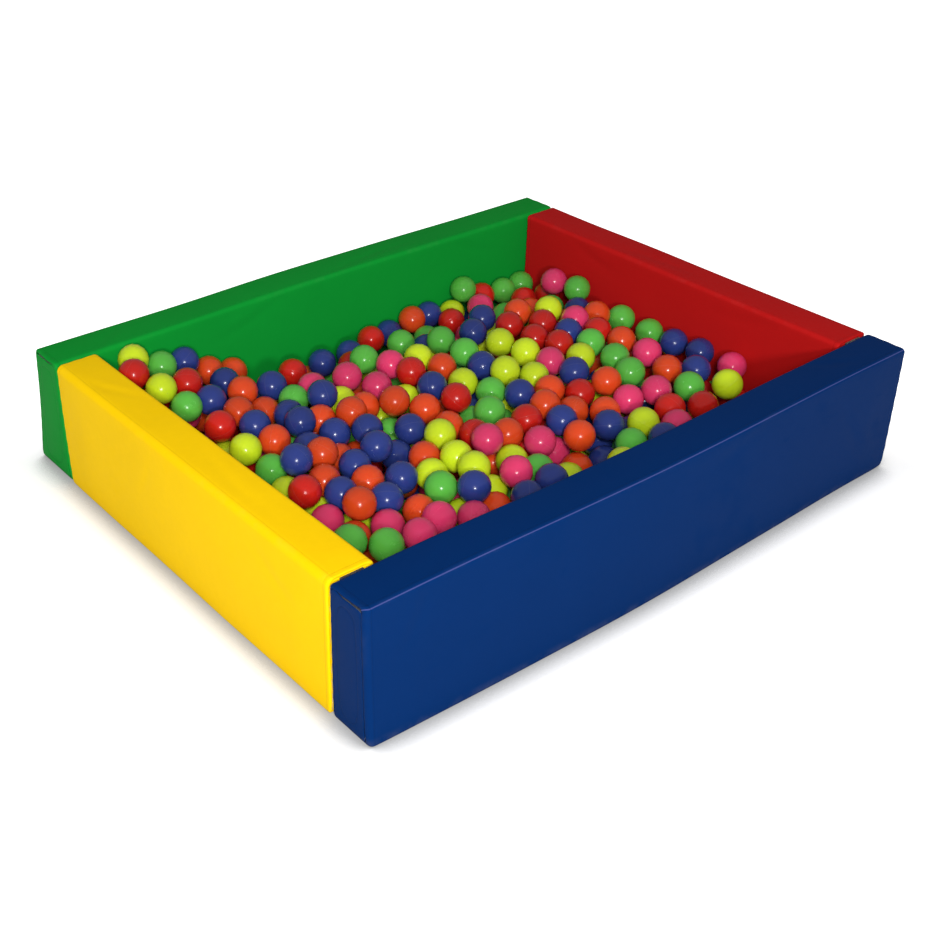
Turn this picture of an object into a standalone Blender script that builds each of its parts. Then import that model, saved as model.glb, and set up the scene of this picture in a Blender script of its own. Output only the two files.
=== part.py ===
"""Foam ball pit: four padded walls stand round a floor mat and a heap of hollow balls.

The two long walls, blue in front and green behind, run the full length. The two cross walls,
yellow on the left and red on the right, stand between them and are held at the four corners by
hook tape and loop tape. Each wall is a foam core in a sewn vinyl cover. A long wall's cover is
opened by a flap at its left end, and a cross wall's cover by a zip along its underside.

Metres, +Z up. The origin is on the floor under the middle of the pit, and X runs along it.
"""

import math

import bpy
import numpy as np

# The pit as a whole
PIT_LENGTH = 1.500
PIT_WIDTH = 1.200
WALL_HEIGHT = 0.300
WALL_THICKNESS = 0.100

# How far the balls have pushed each long wall out, and how far every wall's outer face swells
LONG_WALL_BOW = 0.010
FACE_CROWN = 0.003

# Covers and the gaps between neighbouring pieces
VINYL = 0.0012
EDGE_RADIUS = 0.008
SEAT_GAP = 0.0003

# Hook tape and loop tape at the corners
TAPE_THICKNESS = 0.0016
TAPE_WIDTH = 0.050
TAPE_FOOT = 0.010
TAPE_HEAD = 0.004

# End flap of a long wall, with the slit left above it
FLAP_SLIT = 0.004
FLAP_SIDE_GAP = 0.0005
UNDER_FLAP_DROP = 0.060
FLAP_TAPE_WIDTH = 0.070
FLAP_TAPE_HEIGHT = 0.025
FLAP_TAPE_MARGIN = 0.004

# Zip under a cross wall
ZIP_SLOT = 0.012
ZIP_LIP = 0.005
ZIP_WEB_OVERLAP = 0.004
ZIP_WEB_THICKNESS = 0.0008
ZIP_COIL_WIDTH = 0.004
ZIP_COIL_HEIGHT = 0.0015
ZIP_END_MARGIN = 0.012
SLIDER_LENGTH = 0.014
SLIDER_PLATE = 0.0012
PULL_LENGTH = 0.022
PULL_WIDTH = 0.005

# Floor mat
MAT_THICKNESS = 0.030
MAT_CLEARANCE = 0.0005
MAT_EDGE_RADIUS = 0.006

# Balls
BALL_DIAMETER = 0.070
BALL_SPACING = 0.078
BED_CLEARANCE = 0.0008
BED_HEIGHT = 0.174
BED_RISE_TO_RIGHT = 0.012
BED_RISE_TO_BACK = 0.016
BED_MOUND = 0.022
BED_MOUND_AT = (-0.45, 0.40)
BED_MOUND_REACH = 0.30
BED_FALL = 0.075
FALL_TO_BACK_FROM = 0.22
FALL_TO_BACK_OVER = 0.24
FALL_CLEAR_OF_CORNER = -0.50
FALL_CORNER_OVER = 0.20
FALL_TO_RIGHT_SHARE = 0.70
FALL_TO_RIGHT_FROM = 0.46
FALL_TO_RIGHT_OVER = 0.17
BED_UNEVENNESS = 0.009
BED_DRIFT = 0.003
BED_HOLLOW = 0.010
LOOSE_BALL_RISE = 0.022
LOOSE_BALL_SEAT = 0.004
BACK_BALL_FROM_WALL = 0.045
RIGHT_BALL_FROM_WALL = 0.043

# Facets: few, because the fine surface is not made here
CORNER_STEPS = 2
LONG_WALL_STEPS = 10
CROSS_WALL_STEPS = 6
BALL_SEGMENTS = 10
BALL_RINGS = 7
CAP_RINGS = (0.55, 0.95)

BALL_COLOURS = {
    "red": (0.60, 0.010, 0.010),
    "orange": (0.80, 0.10, 0.010),
    "pink": (0.75, 0.045, 0.17),
    "lime": (0.60, 0.76, 0.020),
    "green": (0.085, 0.42, 0.060),
    "blue": (0.018, 0.030, 0.22),
}
VINYL_COLOURS = {
    "blue": (0.006, 0.035, 0.20),
    "green": (0.004, 0.24, 0.025),
    "yellow": (0.90, 0.55, 0.006),
    "red": (0.42, 0.008, 0.008),
}
FOAM_COLOUR = (0.78, 0.76, 0.68)
TAPE_COLOUR = (0.012, 0.011, 0.012)
ZIP_COLOUR = (0.03, 0.03, 0.035)
METAL_COLOUR = (0.62, 0.60, 0.56)

# Sizes that follow from the ones above
INNER_X = PIT_LENGTH / 2 - WALL_THICKNESS
INNER_Y = PIT_WIDTH / 2 - WALL_THICKNESS
CORNER_GAP = 2 * TAPE_THICKNESS + 3 * SEAT_GAP
CROSS_LENGTH = 2 * (INNER_Y - CORNER_GAP)
BALL_RADIUS = BALL_DIAMETER / 2
FLAP_STACK = 2 * VINYL + 2 * TAPE_THICKNESS + 4 * SEAT_GAP

# Each loose ball's name, colour and place over the mat
LOOSE_BALLS = (
    ("ball_green_front", "green", (-0.495, -0.335)),
    ("ball_blue_front", "blue", (-0.400, -0.215)),
    ("ball_pink_front", "pink", (-0.360, -0.330)),
    ("ball_orange_left", "orange", (-0.460, 0.090)),
    ("ball_red_left", "red", (-0.525, 0.200)),
    ("ball_blue_left", "blue", (-0.332, 0.287)),
    ("ball_lime_middle", "lime", (-0.190, -0.185)),
    ("ball_green_middle", "green", (-0.015, -0.095)),
    ("ball_red_middle", "red", (0.025, -0.170)),
    ("ball_orange_back", "orange", (0.217, INNER_Y - BACK_BALL_FROM_WALL)),
    ("ball_blue_right", "blue", (0.255, -0.085)),
    ("ball_green_right", "green", (0.355, -0.165)),
    ("ball_lime_right", "lime", (0.215, -0.335)),
    ("ball_green_back", "green", (INNER_X - RIGHT_BALL_FROM_WALL, 0.094)),
    ("ball_lime_corner", "lime", (0.496, -0.333)),
)


def clear_scene():
    """Empties the scene that the script starts in."""
    for thing in list(bpy.data.objects):
        bpy.data.objects.remove(thing, do_unlink=True)


def finish(name, colour, roughness, metallic=0.0):
    """A Principled material of one colour."""
    material = bpy.data.materials.new(name)
    material.use_nodes = True
    shader = material.node_tree.nodes["Principled BSDF"]
    shader.inputs["Base Color"].default_value = (*colour, 1.0)
    shader.inputs["Roughness"].default_value = roughness
    shader.inputs["Metallic"].default_value = metallic
    material.diffuse_color = (*colour, 1.0)
    return material


def empty(name, place, turn=0.0, parent=None):
    """An empty that carries the pieces of one moving group."""
    carrier = bpy.data.objects.new(name, None)
    carrier.location = place
    carrier.rotation_euler = (0.0, 0.0, turn)
    carrier.parent = parent
    bpy.context.scene.collection.objects.link(carrier)
    return carrier


def add_piece(name, points, faces, material, parent=None, place=(0.0, 0.0, 0.0), smooth=False):
    """One named object made from points and faces."""
    mesh = bpy.data.meshes.new(name)
    mesh.from_pydata([tuple(map(float, p)) for p in points], [], [tuple(f) for f in faces])
    mesh.materials.append(material)
    mesh.validate()
    if smooth:
        mesh.shade_smooth()
        mesh.set_sharp_from_angle(angle=math.radians(40))
    piece = bpy.data.objects.new(name, mesh)
    piece.location = place
    piece.parent = parent
    bpy.context.scene.collection.objects.link(piece)
    return piece


def add_box(name, low, high, material, parent=None, place=(0.0, 0.0, 0.0)):
    """A rectangular block between two corners."""
    (x0, y0, z0), (x1, y1, z1) = low, high
    points = [(x, y, z) for x in (x0, x1) for y in (y0, y1) for z in (z0, z1)]
    faces = [(0, 1, 3, 2), (4, 6, 7, 5), (0, 4, 5, 1), (2, 3, 7, 6), (0, 2, 6, 4), (1, 5, 7, 3)]
    return add_piece(name, points, faces, material, parent, place)


def corner(y, z, radius, start):
    """A rounded corner in a quarter turn from the angle start, as (y, z) points."""
    turns = start + np.linspace(0.0, math.pi / 2, CORNER_STEPS + 1)
    return [(y + radius * math.cos(a), z + radius * math.sin(a)) for a in turns]


def section(half_width, height, radius, inset, top_drop=0.0):
    """A padded bar's cross-section drawn in by inset, as (y, z, crown share) from the middle of its underside.

    It runs along the underside to +y, up the inner side, back over the top and down the outer
    side at -y, where the crown share grows from 0 at the edges to 1 at half height.
    """
    round_off = max(radius - inset, 0.0005)
    y, low, high = half_width - inset, inset, height - inset - top_drop
    right, left = y - round_off, round_off - y
    points = corner(right, low + round_off, round_off, -math.pi / 2)
    points += corner(right, high - round_off, round_off, 0.0)
    points += corner(left, high - round_off, round_off, math.pi / 2)
    points += [(-y, low + (high - low) * share) for share in (0.75, 0.5, 0.25)]
    points += corner(left, low + round_off, round_off, math.pi)
    on_face = [abs(py + y) < 1e-9 for py, _ in points]
    swell = [math.sin(math.pi * (pz - low) / (high - low)) if face else 0.0
             for (_, pz), face in zip(points, on_face)]
    return np.array([(py, pz, s) for (py, pz), s in zip(points, swell)])


def bow(along, reach):
    """Share of the bow at a place along a wall: 1 in the middle, easing to 0 at the reach and beyond."""
    share = np.cos(np.pi * np.clip(np.asarray(along) / reach, -1.0, 1.0) / 2)
    return share**2


def stations(start, end, reach, steps):
    """Places along a wall: its two ends, and even steps between the limits of its bow."""
    low, high = max(start, -reach), min(end, reach)
    places = list(np.linspace(low, high, steps + 1))
    if start < low - 1e-6:
        places.insert(0, start)
    if end > high + 1e-6:
        places.append(end)
    return places


def carried(outline, places, reach, depth, crown):
    """The outline repeated at each place, pushed outwards (towards -y) by the bow and the crown."""
    rings = []
    for x in places:
        share = float(bow(x, reach))
        y = outline[:, 0] - depth * share - crown * share * outline[:, 2]
        rings.append(np.column_stack([np.full(len(y), x), y, outline[:, 1]]))
    return np.array(rings)


def bar(rings):
    """Points and faces of a solid bar through the rings, closed by one flat face at each end."""
    count, around = rings.shape[:2]
    faces = [
        (i * around + k, (i + 1) * around + k, (i + 1) * around + (k + 1) % around, i * around + (k + 1) % around)
        for i in range(count - 1)
        for k in range(around)
    ]
    faces.append(tuple(range(around)))
    faces.append(tuple((count - 1) * around + k for k in reversed(range(around))))
    return rings.reshape(-1, 3), [face[::-1] for face in faces]


def tube(outside, inside, closed=True):
    """Points and faces of a thin wall between two sets of rings.

    A closed one goes all the way round. An open one has a slot between its last and first points.
    """
    count, around = outside.shape[:2]
    shift = count * around
    spans = around if closed else around - 1
    faces = []
    for i in range(count - 1):
        for k in range(spans):
            a, b = i * around + k, i * around + (k + 1) % around
            c, d = b + around, a + around
            faces.append((a, b, c, d))
            faces.append((d + shift, c + shift, b + shift, a + shift))
    for i, turned in ((0, False), (count - 1, True)):
        for k in range(spans):
            a, b = i * around + k, i * around + (k + 1) % around
            face = (a, a + shift, b + shift, b)
            faces.append(face[::-1] if turned else face)
    if not closed:
        for i in range(count - 1):
            a, d = i * around, (i + 1) * around
            faces.append((a, d, d + shift, a + shift))
            b, c = a + around - 1, d + around - 1
            faces.append((b + shift, c + shift, c, b))
    return np.concatenate([outside.reshape(-1, 3), inside.reshape(-1, 3)]), faces


def plate(outline, start, end):
    """Points and faces of a flat panel with the outline, from one place along the wall to another."""
    flat = outline.copy()
    flat[:, 2] = 0.0
    return bar(carried(flat, (start, end), 1.0, 0.0, 0.0))


def wall_section(inset, top_drop=0.0):
    """A wall's cross-section drawn in by inset."""
    return section(WALL_THICKNESS / 2, WALL_HEIGHT, EDGE_RADIUS, inset, top_drop)


def with_zip_slot(outline, inset):
    """The outline of a cover opened under the middle, with a lip turned up along each side of the slot."""
    half = ZIP_SLOT / 2 + inset
    low = float(outline[:, 1].min())
    first = [(half, ZIP_LIP, 0.0), (half, low, 0.0)]
    last = [(-half, low, 0.0), (-half, ZIP_LIP, 0.0)]
    return np.array(first + [tuple(p) for p in outline] + last)


def with_zip_groove(outline):
    """The outline of a foam core with a groove under it that takes the zip."""
    half = ZIP_SLOT / 2 + VINYL + ZIP_WEB_OVERLAP + SEAT_GAP
    roof = ZIP_LIP + 2 * SEAT_GAP + ZIP_WEB_THICKNESS
    low = float(outline[:, 1].min())
    first = [(half, roof, 0.0), (half, low, 0.0)]
    last = [(-half, low, 0.0), (-half, roof, 0.0)]
    return np.array(first + [tuple(p) for p in outline] + last)


def build_cover_and_core(colour, carrier, length, reach, depth, steps, core_from, core_to, zipped, looks):
    """The vinyl sleeve of one wall and the foam core in it."""
    outer, inner, foam = wall_section(0.0), wall_section(VINYL), wall_section(VINYL + SEAT_GAP)
    if zipped:
        outer, inner = with_zip_slot(outer, 0.0), with_zip_slot(inner, VINYL)
        foam = with_zip_groove(foam)
    places = stations(-length / 2, length / 2, reach, steps)
    shell = tube(
        carried(outer, places, reach, depth, FACE_CROWN),
        carried(inner, places, reach, depth, FACE_CROWN),
        closed=not zipped,
    )
    add_piece(f"{colour}_cover", *shell, looks[f"{colour}_vinyl"], carrier, smooth=True)
    foam_places = stations(core_from, core_to, reach, steps)
    block = bar(carried(foam, foam_places, reach, depth, FACE_CROWN))
    add_piece(f"{colour}_foam_core", *block, looks["foam"], carrier)


def build_long_wall(colour, carrier, flap_end, looks):
    """A long wall: sleeve, core, sewn end panel, end flap with its hook tape, and the tongue under it.

    flap_end is -1 or +1: the end of the wall's own x axis at which the cover opens.
    """
    half = PIT_LENGTH / 2
    inner_ends = sorted((flap_end * (half - FLAP_STACK), -flap_end * (half - VINYL - SEAT_GAP)))
    build_cover_and_core(
        colour, carrier, PIT_LENGTH, INNER_X, LONG_WALL_BOW, LONG_WALL_STEPS, *inner_ends, False, looks
    )
    vinyl, tape = looks[f"{colour}_vinyl"], looks["tape"]
    sewn_in = wall_section(VINYL + SEAT_GAP)
    add_piece(
        f"{colour}_end_panel",
        *plate(sewn_in, *sorted((-flap_end * (half - VINYL), -flap_end * half))),
        vinyl,
        carrier,
    )
    build_flap(colour, carrier, flap_end, vinyl, tape)
    for side, word in ((-1, "left"), (1, "right")):
        middle = side * flap_end * -1 * (PIT_LENGTH / 2 - WALL_THICKNESS / 2)
        face = WALL_THICKNESS / 2 + SEAT_GAP
        add_box(
            f"{colour}_loop_tape_{word}",
            (middle - TAPE_WIDTH / 2, face, TAPE_FOOT),
            (middle + TAPE_WIDTH / 2, face + TAPE_THICKNESS, WALL_HEIGHT - TAPE_HEAD),
            tape,
            carrier,
        )


def build_flap(colour, carrier, flap_end, vinyl, tape):
    """The flap that closes a long wall's cover, hinged along its lower edge, and what it fastens to."""
    half = PIT_LENGTH / 2
    foot = VINYL + FLAP_SIDE_GAP
    hinge = empty(f"{colour}_flap_hinge", (flap_end * half, 0.0, foot), 0.0, carrier)

    def layer(start, thickness):
        """Low and high x of a layer of the closed end, counted inwards from the end."""
        return sorted((flap_end * (half - start), flap_end * (half - start - thickness)))

    flap = plate(wall_section(foot, FLAP_SLIT), *layer(0.0, VINYL))
    shift = np.array([flap_end * half, 0.0, foot])
    add_piece(f"{colour}_end_flap", flap[0] - shift, flap[1], vinyl, hinge)

    top = WALL_HEIGHT - foot - FLAP_SLIT - FLAP_TAPE_MARGIN
    y = FLAP_TAPE_WIDTH / 2
    hook_at = VINYL + SEAT_GAP
    loop_at = hook_at + TAPE_THICKNESS + SEAT_GAP
    tongue_at = loop_at + TAPE_THICKNESS + SEAT_GAP
    low, high = layer(hook_at, TAPE_THICKNESS)
    add_box(
        f"{colour}_flap_hook_tape",
        np.array([low, -y, top - FLAP_TAPE_HEIGHT]) - shift,
        np.array([high, y, top]) - shift,
        tape,
        hinge,
    )
    low, high = layer(loop_at, TAPE_THICKNESS)
    add_box(f"{colour}_flap_loop_tape", (low, -y, top - FLAP_TAPE_HEIGHT), (high, y, top), tape, carrier)
    low, high = layer(tongue_at, VINYL)
    ceiling = WALL_HEIGHT - VINYL - SEAT_GAP
    side = WALL_THICKNESS / 2 - EDGE_RADIUS
    add_box(f"{colour}_under_flap", (low, -side, ceiling - UNDER_FLAP_DROP), (high, side, ceiling), vinyl, carrier)


def build_cross_wall(colour, carrier, looks):
    """A cross wall: slotted sleeve, grooved core, two sewn end panels, hook tapes and the zip."""
    half = CROSS_LENGTH / 2
    inside = half - VINYL - SEAT_GAP
    build_cover_and_core(
        colour, carrier, CROSS_LENGTH, half, 0.0, CROSS_WALL_STEPS, -inside, inside, True, looks
    )
    vinyl, tape = looks[f"{colour}_vinyl"], looks["tape"]
    panel = wall_section(VINYL + SEAT_GAP)
    panel[:, 1] = np.maximum(panel[:, 1], ZIP_LIP + SEAT_GAP)
    for side in (-1, 1):
        word = "front" if side * math.sin(carrier.rotation_euler.z) < 0 else "back"
        add_piece(
            f"{colour}_end_panel_{word}",
            *plate(panel, *sorted((side * (half - VINYL), side * half))),
            vinyl,
            carrier,
        )
        low, high = sorted((side * (half + SEAT_GAP), side * (half + SEAT_GAP + TAPE_THICKNESS)))
        add_box(
            f"{colour}_hook_tape_{word}",
            (low, -TAPE_WIDTH / 2, TAPE_FOOT),
            (high, TAPE_WIDTH / 2, WALL_HEIGHT - TAPE_HEAD),
            tape,
            carrier,
        )
    build_zip(colour, carrier, looks)


def build_zip(colour, carrier, looks):
    """The zip in the slot under a cross wall: webbing over the lips, coil under it, slider and pull."""
    reach = CROSS_LENGTH / 2 - ZIP_END_MARGIN
    web_y = ZIP_SLOT / 2 + VINYL + ZIP_WEB_OVERLAP
    web_low = ZIP_LIP + SEAT_GAP
    add_box(
        f"{colour}_zip_webbing",
        (-reach, -web_y, web_low),
        (reach, web_y, web_low + ZIP_WEB_THICKNESS),
        looks["zip"],
        carrier,
    )
    coil_y, coil_low = ZIP_COIL_WIDTH / 2, ZIP_LIP - ZIP_COIL_HEIGHT
    add_box(f"{colour}_zip_coil", (-reach, -coil_y, coil_low), (reach, coil_y, ZIP_LIP), looks["zip"], carrier)
    cheek, floor = coil_y + SEAT_GAP, coil_low - SEAT_GAP
    side, base = cheek + SLIDER_PLATE, floor - SLIDER_PLATE
    channel = np.array([
        (-side, base, 0.0), (side, base, 0.0), (side, ZIP_LIP, 0.0), (cheek, ZIP_LIP, 0.0),
        (cheek, floor, 0.0), (-cheek, floor, 0.0), (-cheek, ZIP_LIP, 0.0), (-side, ZIP_LIP, 0.0),
    ])
    runner = empty(f"{colour}_zip_runner", (-reach + PULL_LENGTH + SEAT_GAP, 0.0, 0.0), 0.0, carrier)
    add_piece(f"{colour}_zip_slider", *plate(channel, 0.0, SLIDER_LENGTH), looks["metal"], runner)
    add_box(
        f"{colour}_zip_pull",
        (-SEAT_GAP - PULL_LENGTH, -PULL_WIDTH / 2, base),
        (-SEAT_GAP, PULL_WIDTH / 2, floor),
        looks["metal"],
        runner,
    )


def build_mat(looks):
    """The floor mat that fills the pit: a sleeve, its two sewn ends and the foam in it."""
    half_x, half_y = INNER_X - MAT_CLEARANCE, INNER_Y - MAT_CLEARANCE

    def mat_section(inset):
        return section(half_y, MAT_THICKNESS, MAT_EDGE_RADIUS, inset)

    ends = (-half_x, half_x)
    shell = tube(*(carried(mat_section(inset), ends, half_x, 0.0, 0.0) for inset in (0.0, VINYL)))
    add_piece("mat_cover", *shell, looks["blue_vinyl"])
    inset = VINYL + SEAT_GAP
    add_piece("mat_foam_core", *plate(mat_section(inset), -half_x + inset, half_x - inset), looks["foam"])
    for side, word in ((-1, "left"), (1, "right")):
        reach = sorted((side * (half_x - VINYL), side * half_x))
        add_piece(f"mat_end_panel_{word}", *plate(mat_section(inset), *reach), looks["blue_vinyl"])


def scatter(row, column, turn):
    """An even spread of numbers from -1 to 1 that looks unordered, the same every run."""
    return math.sin(12.9898 * (row + 1) + 78.233 * (column + 1) + 37.719 * turn) ** 3


def ease(value):
    """0 below 0, 1 above 1, and a smooth rise between."""
    share = min(max(value, 0.0), 1.0)
    return share * share * (3 - 2 * share)


def heap_height(x, y):
    """Height of the heap's balls at a place.

    It slopes up a little to the right and the back, has a low mound in the corner of the yellow
    and green walls, and falls off along the rest of the green wall and along the red one.
    """
    away = ((x - BED_MOUND_AT[0]) ** 2 + (y - BED_MOUND_AT[1]) ** 2) / BED_MOUND_REACH**2
    slope = BED_RISE_TO_RIGHT * x / INNER_X + BED_RISE_TO_BACK * y / INNER_Y
    out_of_corner = ease((x - FALL_CLEAR_OF_CORNER) / FALL_CORNER_OVER)
    to_back = out_of_corner * ease((y - FALL_TO_BACK_FROM) / FALL_TO_BACK_OVER)
    to_right = FALL_TO_RIGHT_SHARE * ease((x - FALL_TO_RIGHT_FROM) / FALL_TO_RIGHT_OVER)
    fall = BED_FALL * (1 - (1 - to_back) * (1 - to_right))
    return BED_HEIGHT + slope + BED_MOUND * math.exp(-away) - fall


def loose_ball_middle(place):
    """Where the middle of a loose ball lies: a little above the heap around it."""
    return np.array([*place, heap_height(*place) + LOOSE_BALL_RISE])


def bed_middles():
    """Middles of the balls in the top of the heap, in staggered rows, as {(row, column): (x, y, z)}.

    A ball next to a loose one lies low enough for the loose one to rest on it.
    """
    columns = round(2 * INNER_X / BALL_SPACING)
    rows = round(2 * INNER_Y / (BALL_SPACING * math.sqrt(3) / 2))
    step_x, step_y = 2 * INNER_X / columns, 2 * INNER_Y / rows
    far_x, far_y = (inner - BALL_RADIUS - 2 * BED_CLEARANCE for inner in (INNER_X, INNER_Y))
    loose = [loose_ball_middle(place) for _, _, place in LOOSE_BALLS]
    middles = {}
    for row in range(rows):
        stagger = row % 2
        for column in range(columns - stagger):
            x = -INNER_X + (column + 0.5 + 0.5 * stagger) * step_x + BED_DRIFT * scatter(row, column, 0)
            y = -INNER_Y + (row + 0.5) * step_y + BED_DRIFT * scatter(row, column, 1)
            x, y = min(max(x, -far_x), far_x), min(max(y, -far_y), far_y)
            z = heap_height(x, y) + BED_UNEVENNESS * scatter(row, column, 2)
            for middle in loose:
                apart = math.hypot(x - middle[0], y - middle[1])
                if apart < BALL_DIAMETER:
                    z = min(z, middle[2] - math.sqrt(BALL_DIAMETER**2 - apart**2))
            middles[row, column] = np.array([x, y, z])
    return middles, rows, columns


def bed_edge(x):
    """Half the bed's length, and half its width at x, where it follows the bowed walls."""
    return INNER_X - BED_CLEARANCE, INNER_Y - BED_CLEARANCE + LONG_WALL_BOW * float(bow(x, INNER_X))


def build_ball_bed(looks):
    """The heap under the loose balls as one solid, whose top is a cap for each ball in it.

    Each cap has a crown point, rings of six points on the ball, and six hollows that it shares
    with its neighbours. The hollows at the rim are drawn out to the walls.
    """
    middles, rows, columns = bed_middles()
    points, faces, colours = [], [], []
    hollows = {}
    names = list(BALL_COLOURS)
    step_x, step_y = 2 * INNER_X / columns, 2 * INNER_Y / rows

    def hollow(row, column, k):
        """Index of the hollow at corner k of a ball's cell, made when it is first met."""
        stagger = row % 2
        across = 2 * column + stagger + (1, 0, -1, -1, 0, 1)[k]
        up = 3 * row + (1, 2, 1, -1, -2, -1)[k]
        rim_left, rim_right = stagger and column == 0, stagger and column == columns - 2
        key = (across, up)
        if key not in hollows:
            x = -INNER_X + (across + 1) * step_x / 2
            y = -INNER_Y + (up / 3 + 0.5) * step_y
            near = [m for m in middles.values() if math.hypot(m[0] - x, m[1] - y) < BALL_SPACING * 0.8]
            z = sum(m[2] for m in near) / len(near) - BED_HOLLOW
            hollows[key] = len(points)
            points.append([x, y, max(z, MAT_THICKNESS + BED_HOLLOW)])
        index = hollows[key]
        if (rim_left and k in (2, 3)) or (rim_right and k in (0, 5)):
            points[index][0] = math.copysign(INNER_X, points[index][0])
        return index

    for (row, column), middle in middles.items():
        colour = names[int(3 * (scatter(row, column, 3) + 1)) % len(names)]
        first = len(points)
        points.append([middle[0], middle[1], middle[2] + BALL_RADIUS])
        for share in CAP_RINGS:
            for k in range(6):
                angle = math.pi / 6 + k * math.pi / 3
                reach = BALL_RADIUS * share
                points.append([
                    middle[0] + reach * math.cos(angle),
                    middle[1] + reach * math.sin(angle),
                    middle[2] + BALL_RADIUS * math.sqrt(1 - share**2),
                ])
        rings = [[first + 1 + 6 * r + k for k in range(6)] for r in range(len(CAP_RINGS))]
        rings.append([hollow(row, column, k) for k in range(6)])
        made = [(first, rings[0][k], rings[0][(k + 1) % 6]) for k in range(6)]
        for inner, outer in zip(rings, rings[1:]):
            for k in range(6):
                n = (k + 1) % 6
                made += [(inner[k], outer[k], outer[n]), (inner[k], outer[n], inner[n])]
        faces += made
        colours += [names.index(colour)] * len(made)

    once = {}
    for face in faces:
        for a, b in zip(face, face[1:] + face[:1]):
            once[a, b] = once.get((a, b), 0) + 1
    rim = {a: b for a, b in once if (b, a) not in once}
    for index in rim:
        x, y, _ = points[index]
        wide, deep = bed_edge(x)
        points[index][0] = math.copysign(wide, x) if abs(x) > INNER_X - step_x / 4 else x
        points[index][1] = math.copysign(deep, y) if abs(y) > INNER_Y - step_y / 2 else y
    start = index = min(rim)
    loop = [start]
    while rim[index] != start:
        index = rim[index]
        loop.append(index)
    floor = MAT_THICKNESS + SEAT_GAP
    below = len(points)
    points += [[points[i][0], points[i][1], floor] for i in loop]
    count = len(loop)
    for k in range(count):
        n = (k + 1) % count
        faces.append((loop[n], loop[k], below + k, below + n))
    faces.append(tuple(below + k for k in reversed(range(count))))
    colours += [0] * (len(faces) - len(colours))

    bed = add_piece("ball_bed", points, faces, looks[f"{names[0]}_ball"])
    for name in names[1:]:
        bed.data.materials.append(looks[f"{name}_ball"])
    bed.data.polygons.foreach_set("material_index", colours)
    return bed


def ball_points(radius):
    """Points and faces of a ball round its own middle: a point at each pole and rings between."""
    points, faces = [(0.0, 0.0, radius)], []
    for ring in range(1, BALL_RINGS):
        tilt = math.pi * ring / BALL_RINGS
        for k in range(BALL_SEGMENTS):
            angle = 2 * math.pi * k / BALL_SEGMENTS
            flat = radius * math.sin(tilt)
            points.append((flat * math.cos(angle), flat * math.sin(angle), radius * math.cos(tilt)))
    points.append((0.0, 0.0, -radius))
    last = len(points) - 1
    for k in range(BALL_SEGMENTS):
        n = (k + 1) % BALL_SEGMENTS
        faces.append((0, 1 + k, 1 + n))
        for ring in range(BALL_RINGS - 2):
            a = 1 + ring * BALL_SEGMENTS
            b = a + BALL_SEGMENTS
            faces.append((a + k, b + k, b + n, a + n))
        foot = 1 + (BALL_RINGS - 2) * BALL_SEGMENTS
        faces.append((last, foot + n, foot + k))
    return points, faces


def build_loose_balls(bed, looks):
    """The balls that lie on the heap, each seated in a shallow hollow that is cut in the bed to fit it."""
    for name, colour, place in LOOSE_BALLS:
        middle = loose_ball_middle(place) - np.array([0.0, 0.0, LOOSE_BALL_SEAT])
        add_piece(name, *ball_points(BALL_RADIUS), looks[f"{colour}_ball"], place=middle, smooth=True)
        cutter = add_piece(
            f"{name}_seat", *ball_points(BALL_RADIUS + SEAT_GAP), looks[f"{colour}_ball"], place=middle
        )
        cutter.hide_render = True
        cutter.display_type = "WIRE"
        cut = bed.modifiers.new(f"seat of {name}", "BOOLEAN")
        cut.operation = "DIFFERENCE"
        cut.object = cutter
        cut.solver = "EXACT"


def make_looks():
    """Every material, by name."""
    looks = {f"{name}_vinyl": finish(f"{name}_vinyl", rgb, 0.42) for name, rgb in VINYL_COLOURS.items()}
    looks.update({f"{name}_ball": finish(f"{name}_ball", rgb, 0.22) for name, rgb in BALL_COLOURS.items()})
    looks["foam"] = finish("foam", FOAM_COLOUR, 0.95)
    looks["tape"] = finish("tape", TAPE_COLOUR, 0.90)
    looks["zip"] = finish("zip", ZIP_COLOUR, 0.60)
    looks["metal"] = finish("metal", METAL_COLOUR, 0.35, 1.0)
    return looks


def main():
    clear_scene()
    looks = make_looks()
    long_at = PIT_WIDTH / 2 - WALL_THICKNESS / 2
    cross_at = PIT_LENGTH / 2 - WALL_THICKNESS / 2
    build_long_wall("blue", empty("blue_wall", (0.0, -long_at, 0.0)), -1, looks)
    build_long_wall("green", empty("green_wall", (0.0, long_at, 0.0), math.pi), 1, looks)
    build_cross_wall("red", empty("red_wall", (cross_at, 0.0, 0.0), math.pi / 2), looks)
    build_cross_wall("yellow", empty("yellow_wall", (-cross_at, 0.0, 0.0), -math.pi / 2), looks)
    build_mat(looks)
    build_loose_balls(build_ball_bed(looks), looks)


main()
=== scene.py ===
"""Foam ball pit: soft covers, tapes, zips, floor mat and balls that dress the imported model.

Metres, +Z up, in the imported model's own frame. A wall's own frame has x along the wall, y towards
the pit and z up, from the middle of the wall's underside.
"""

import math

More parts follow.
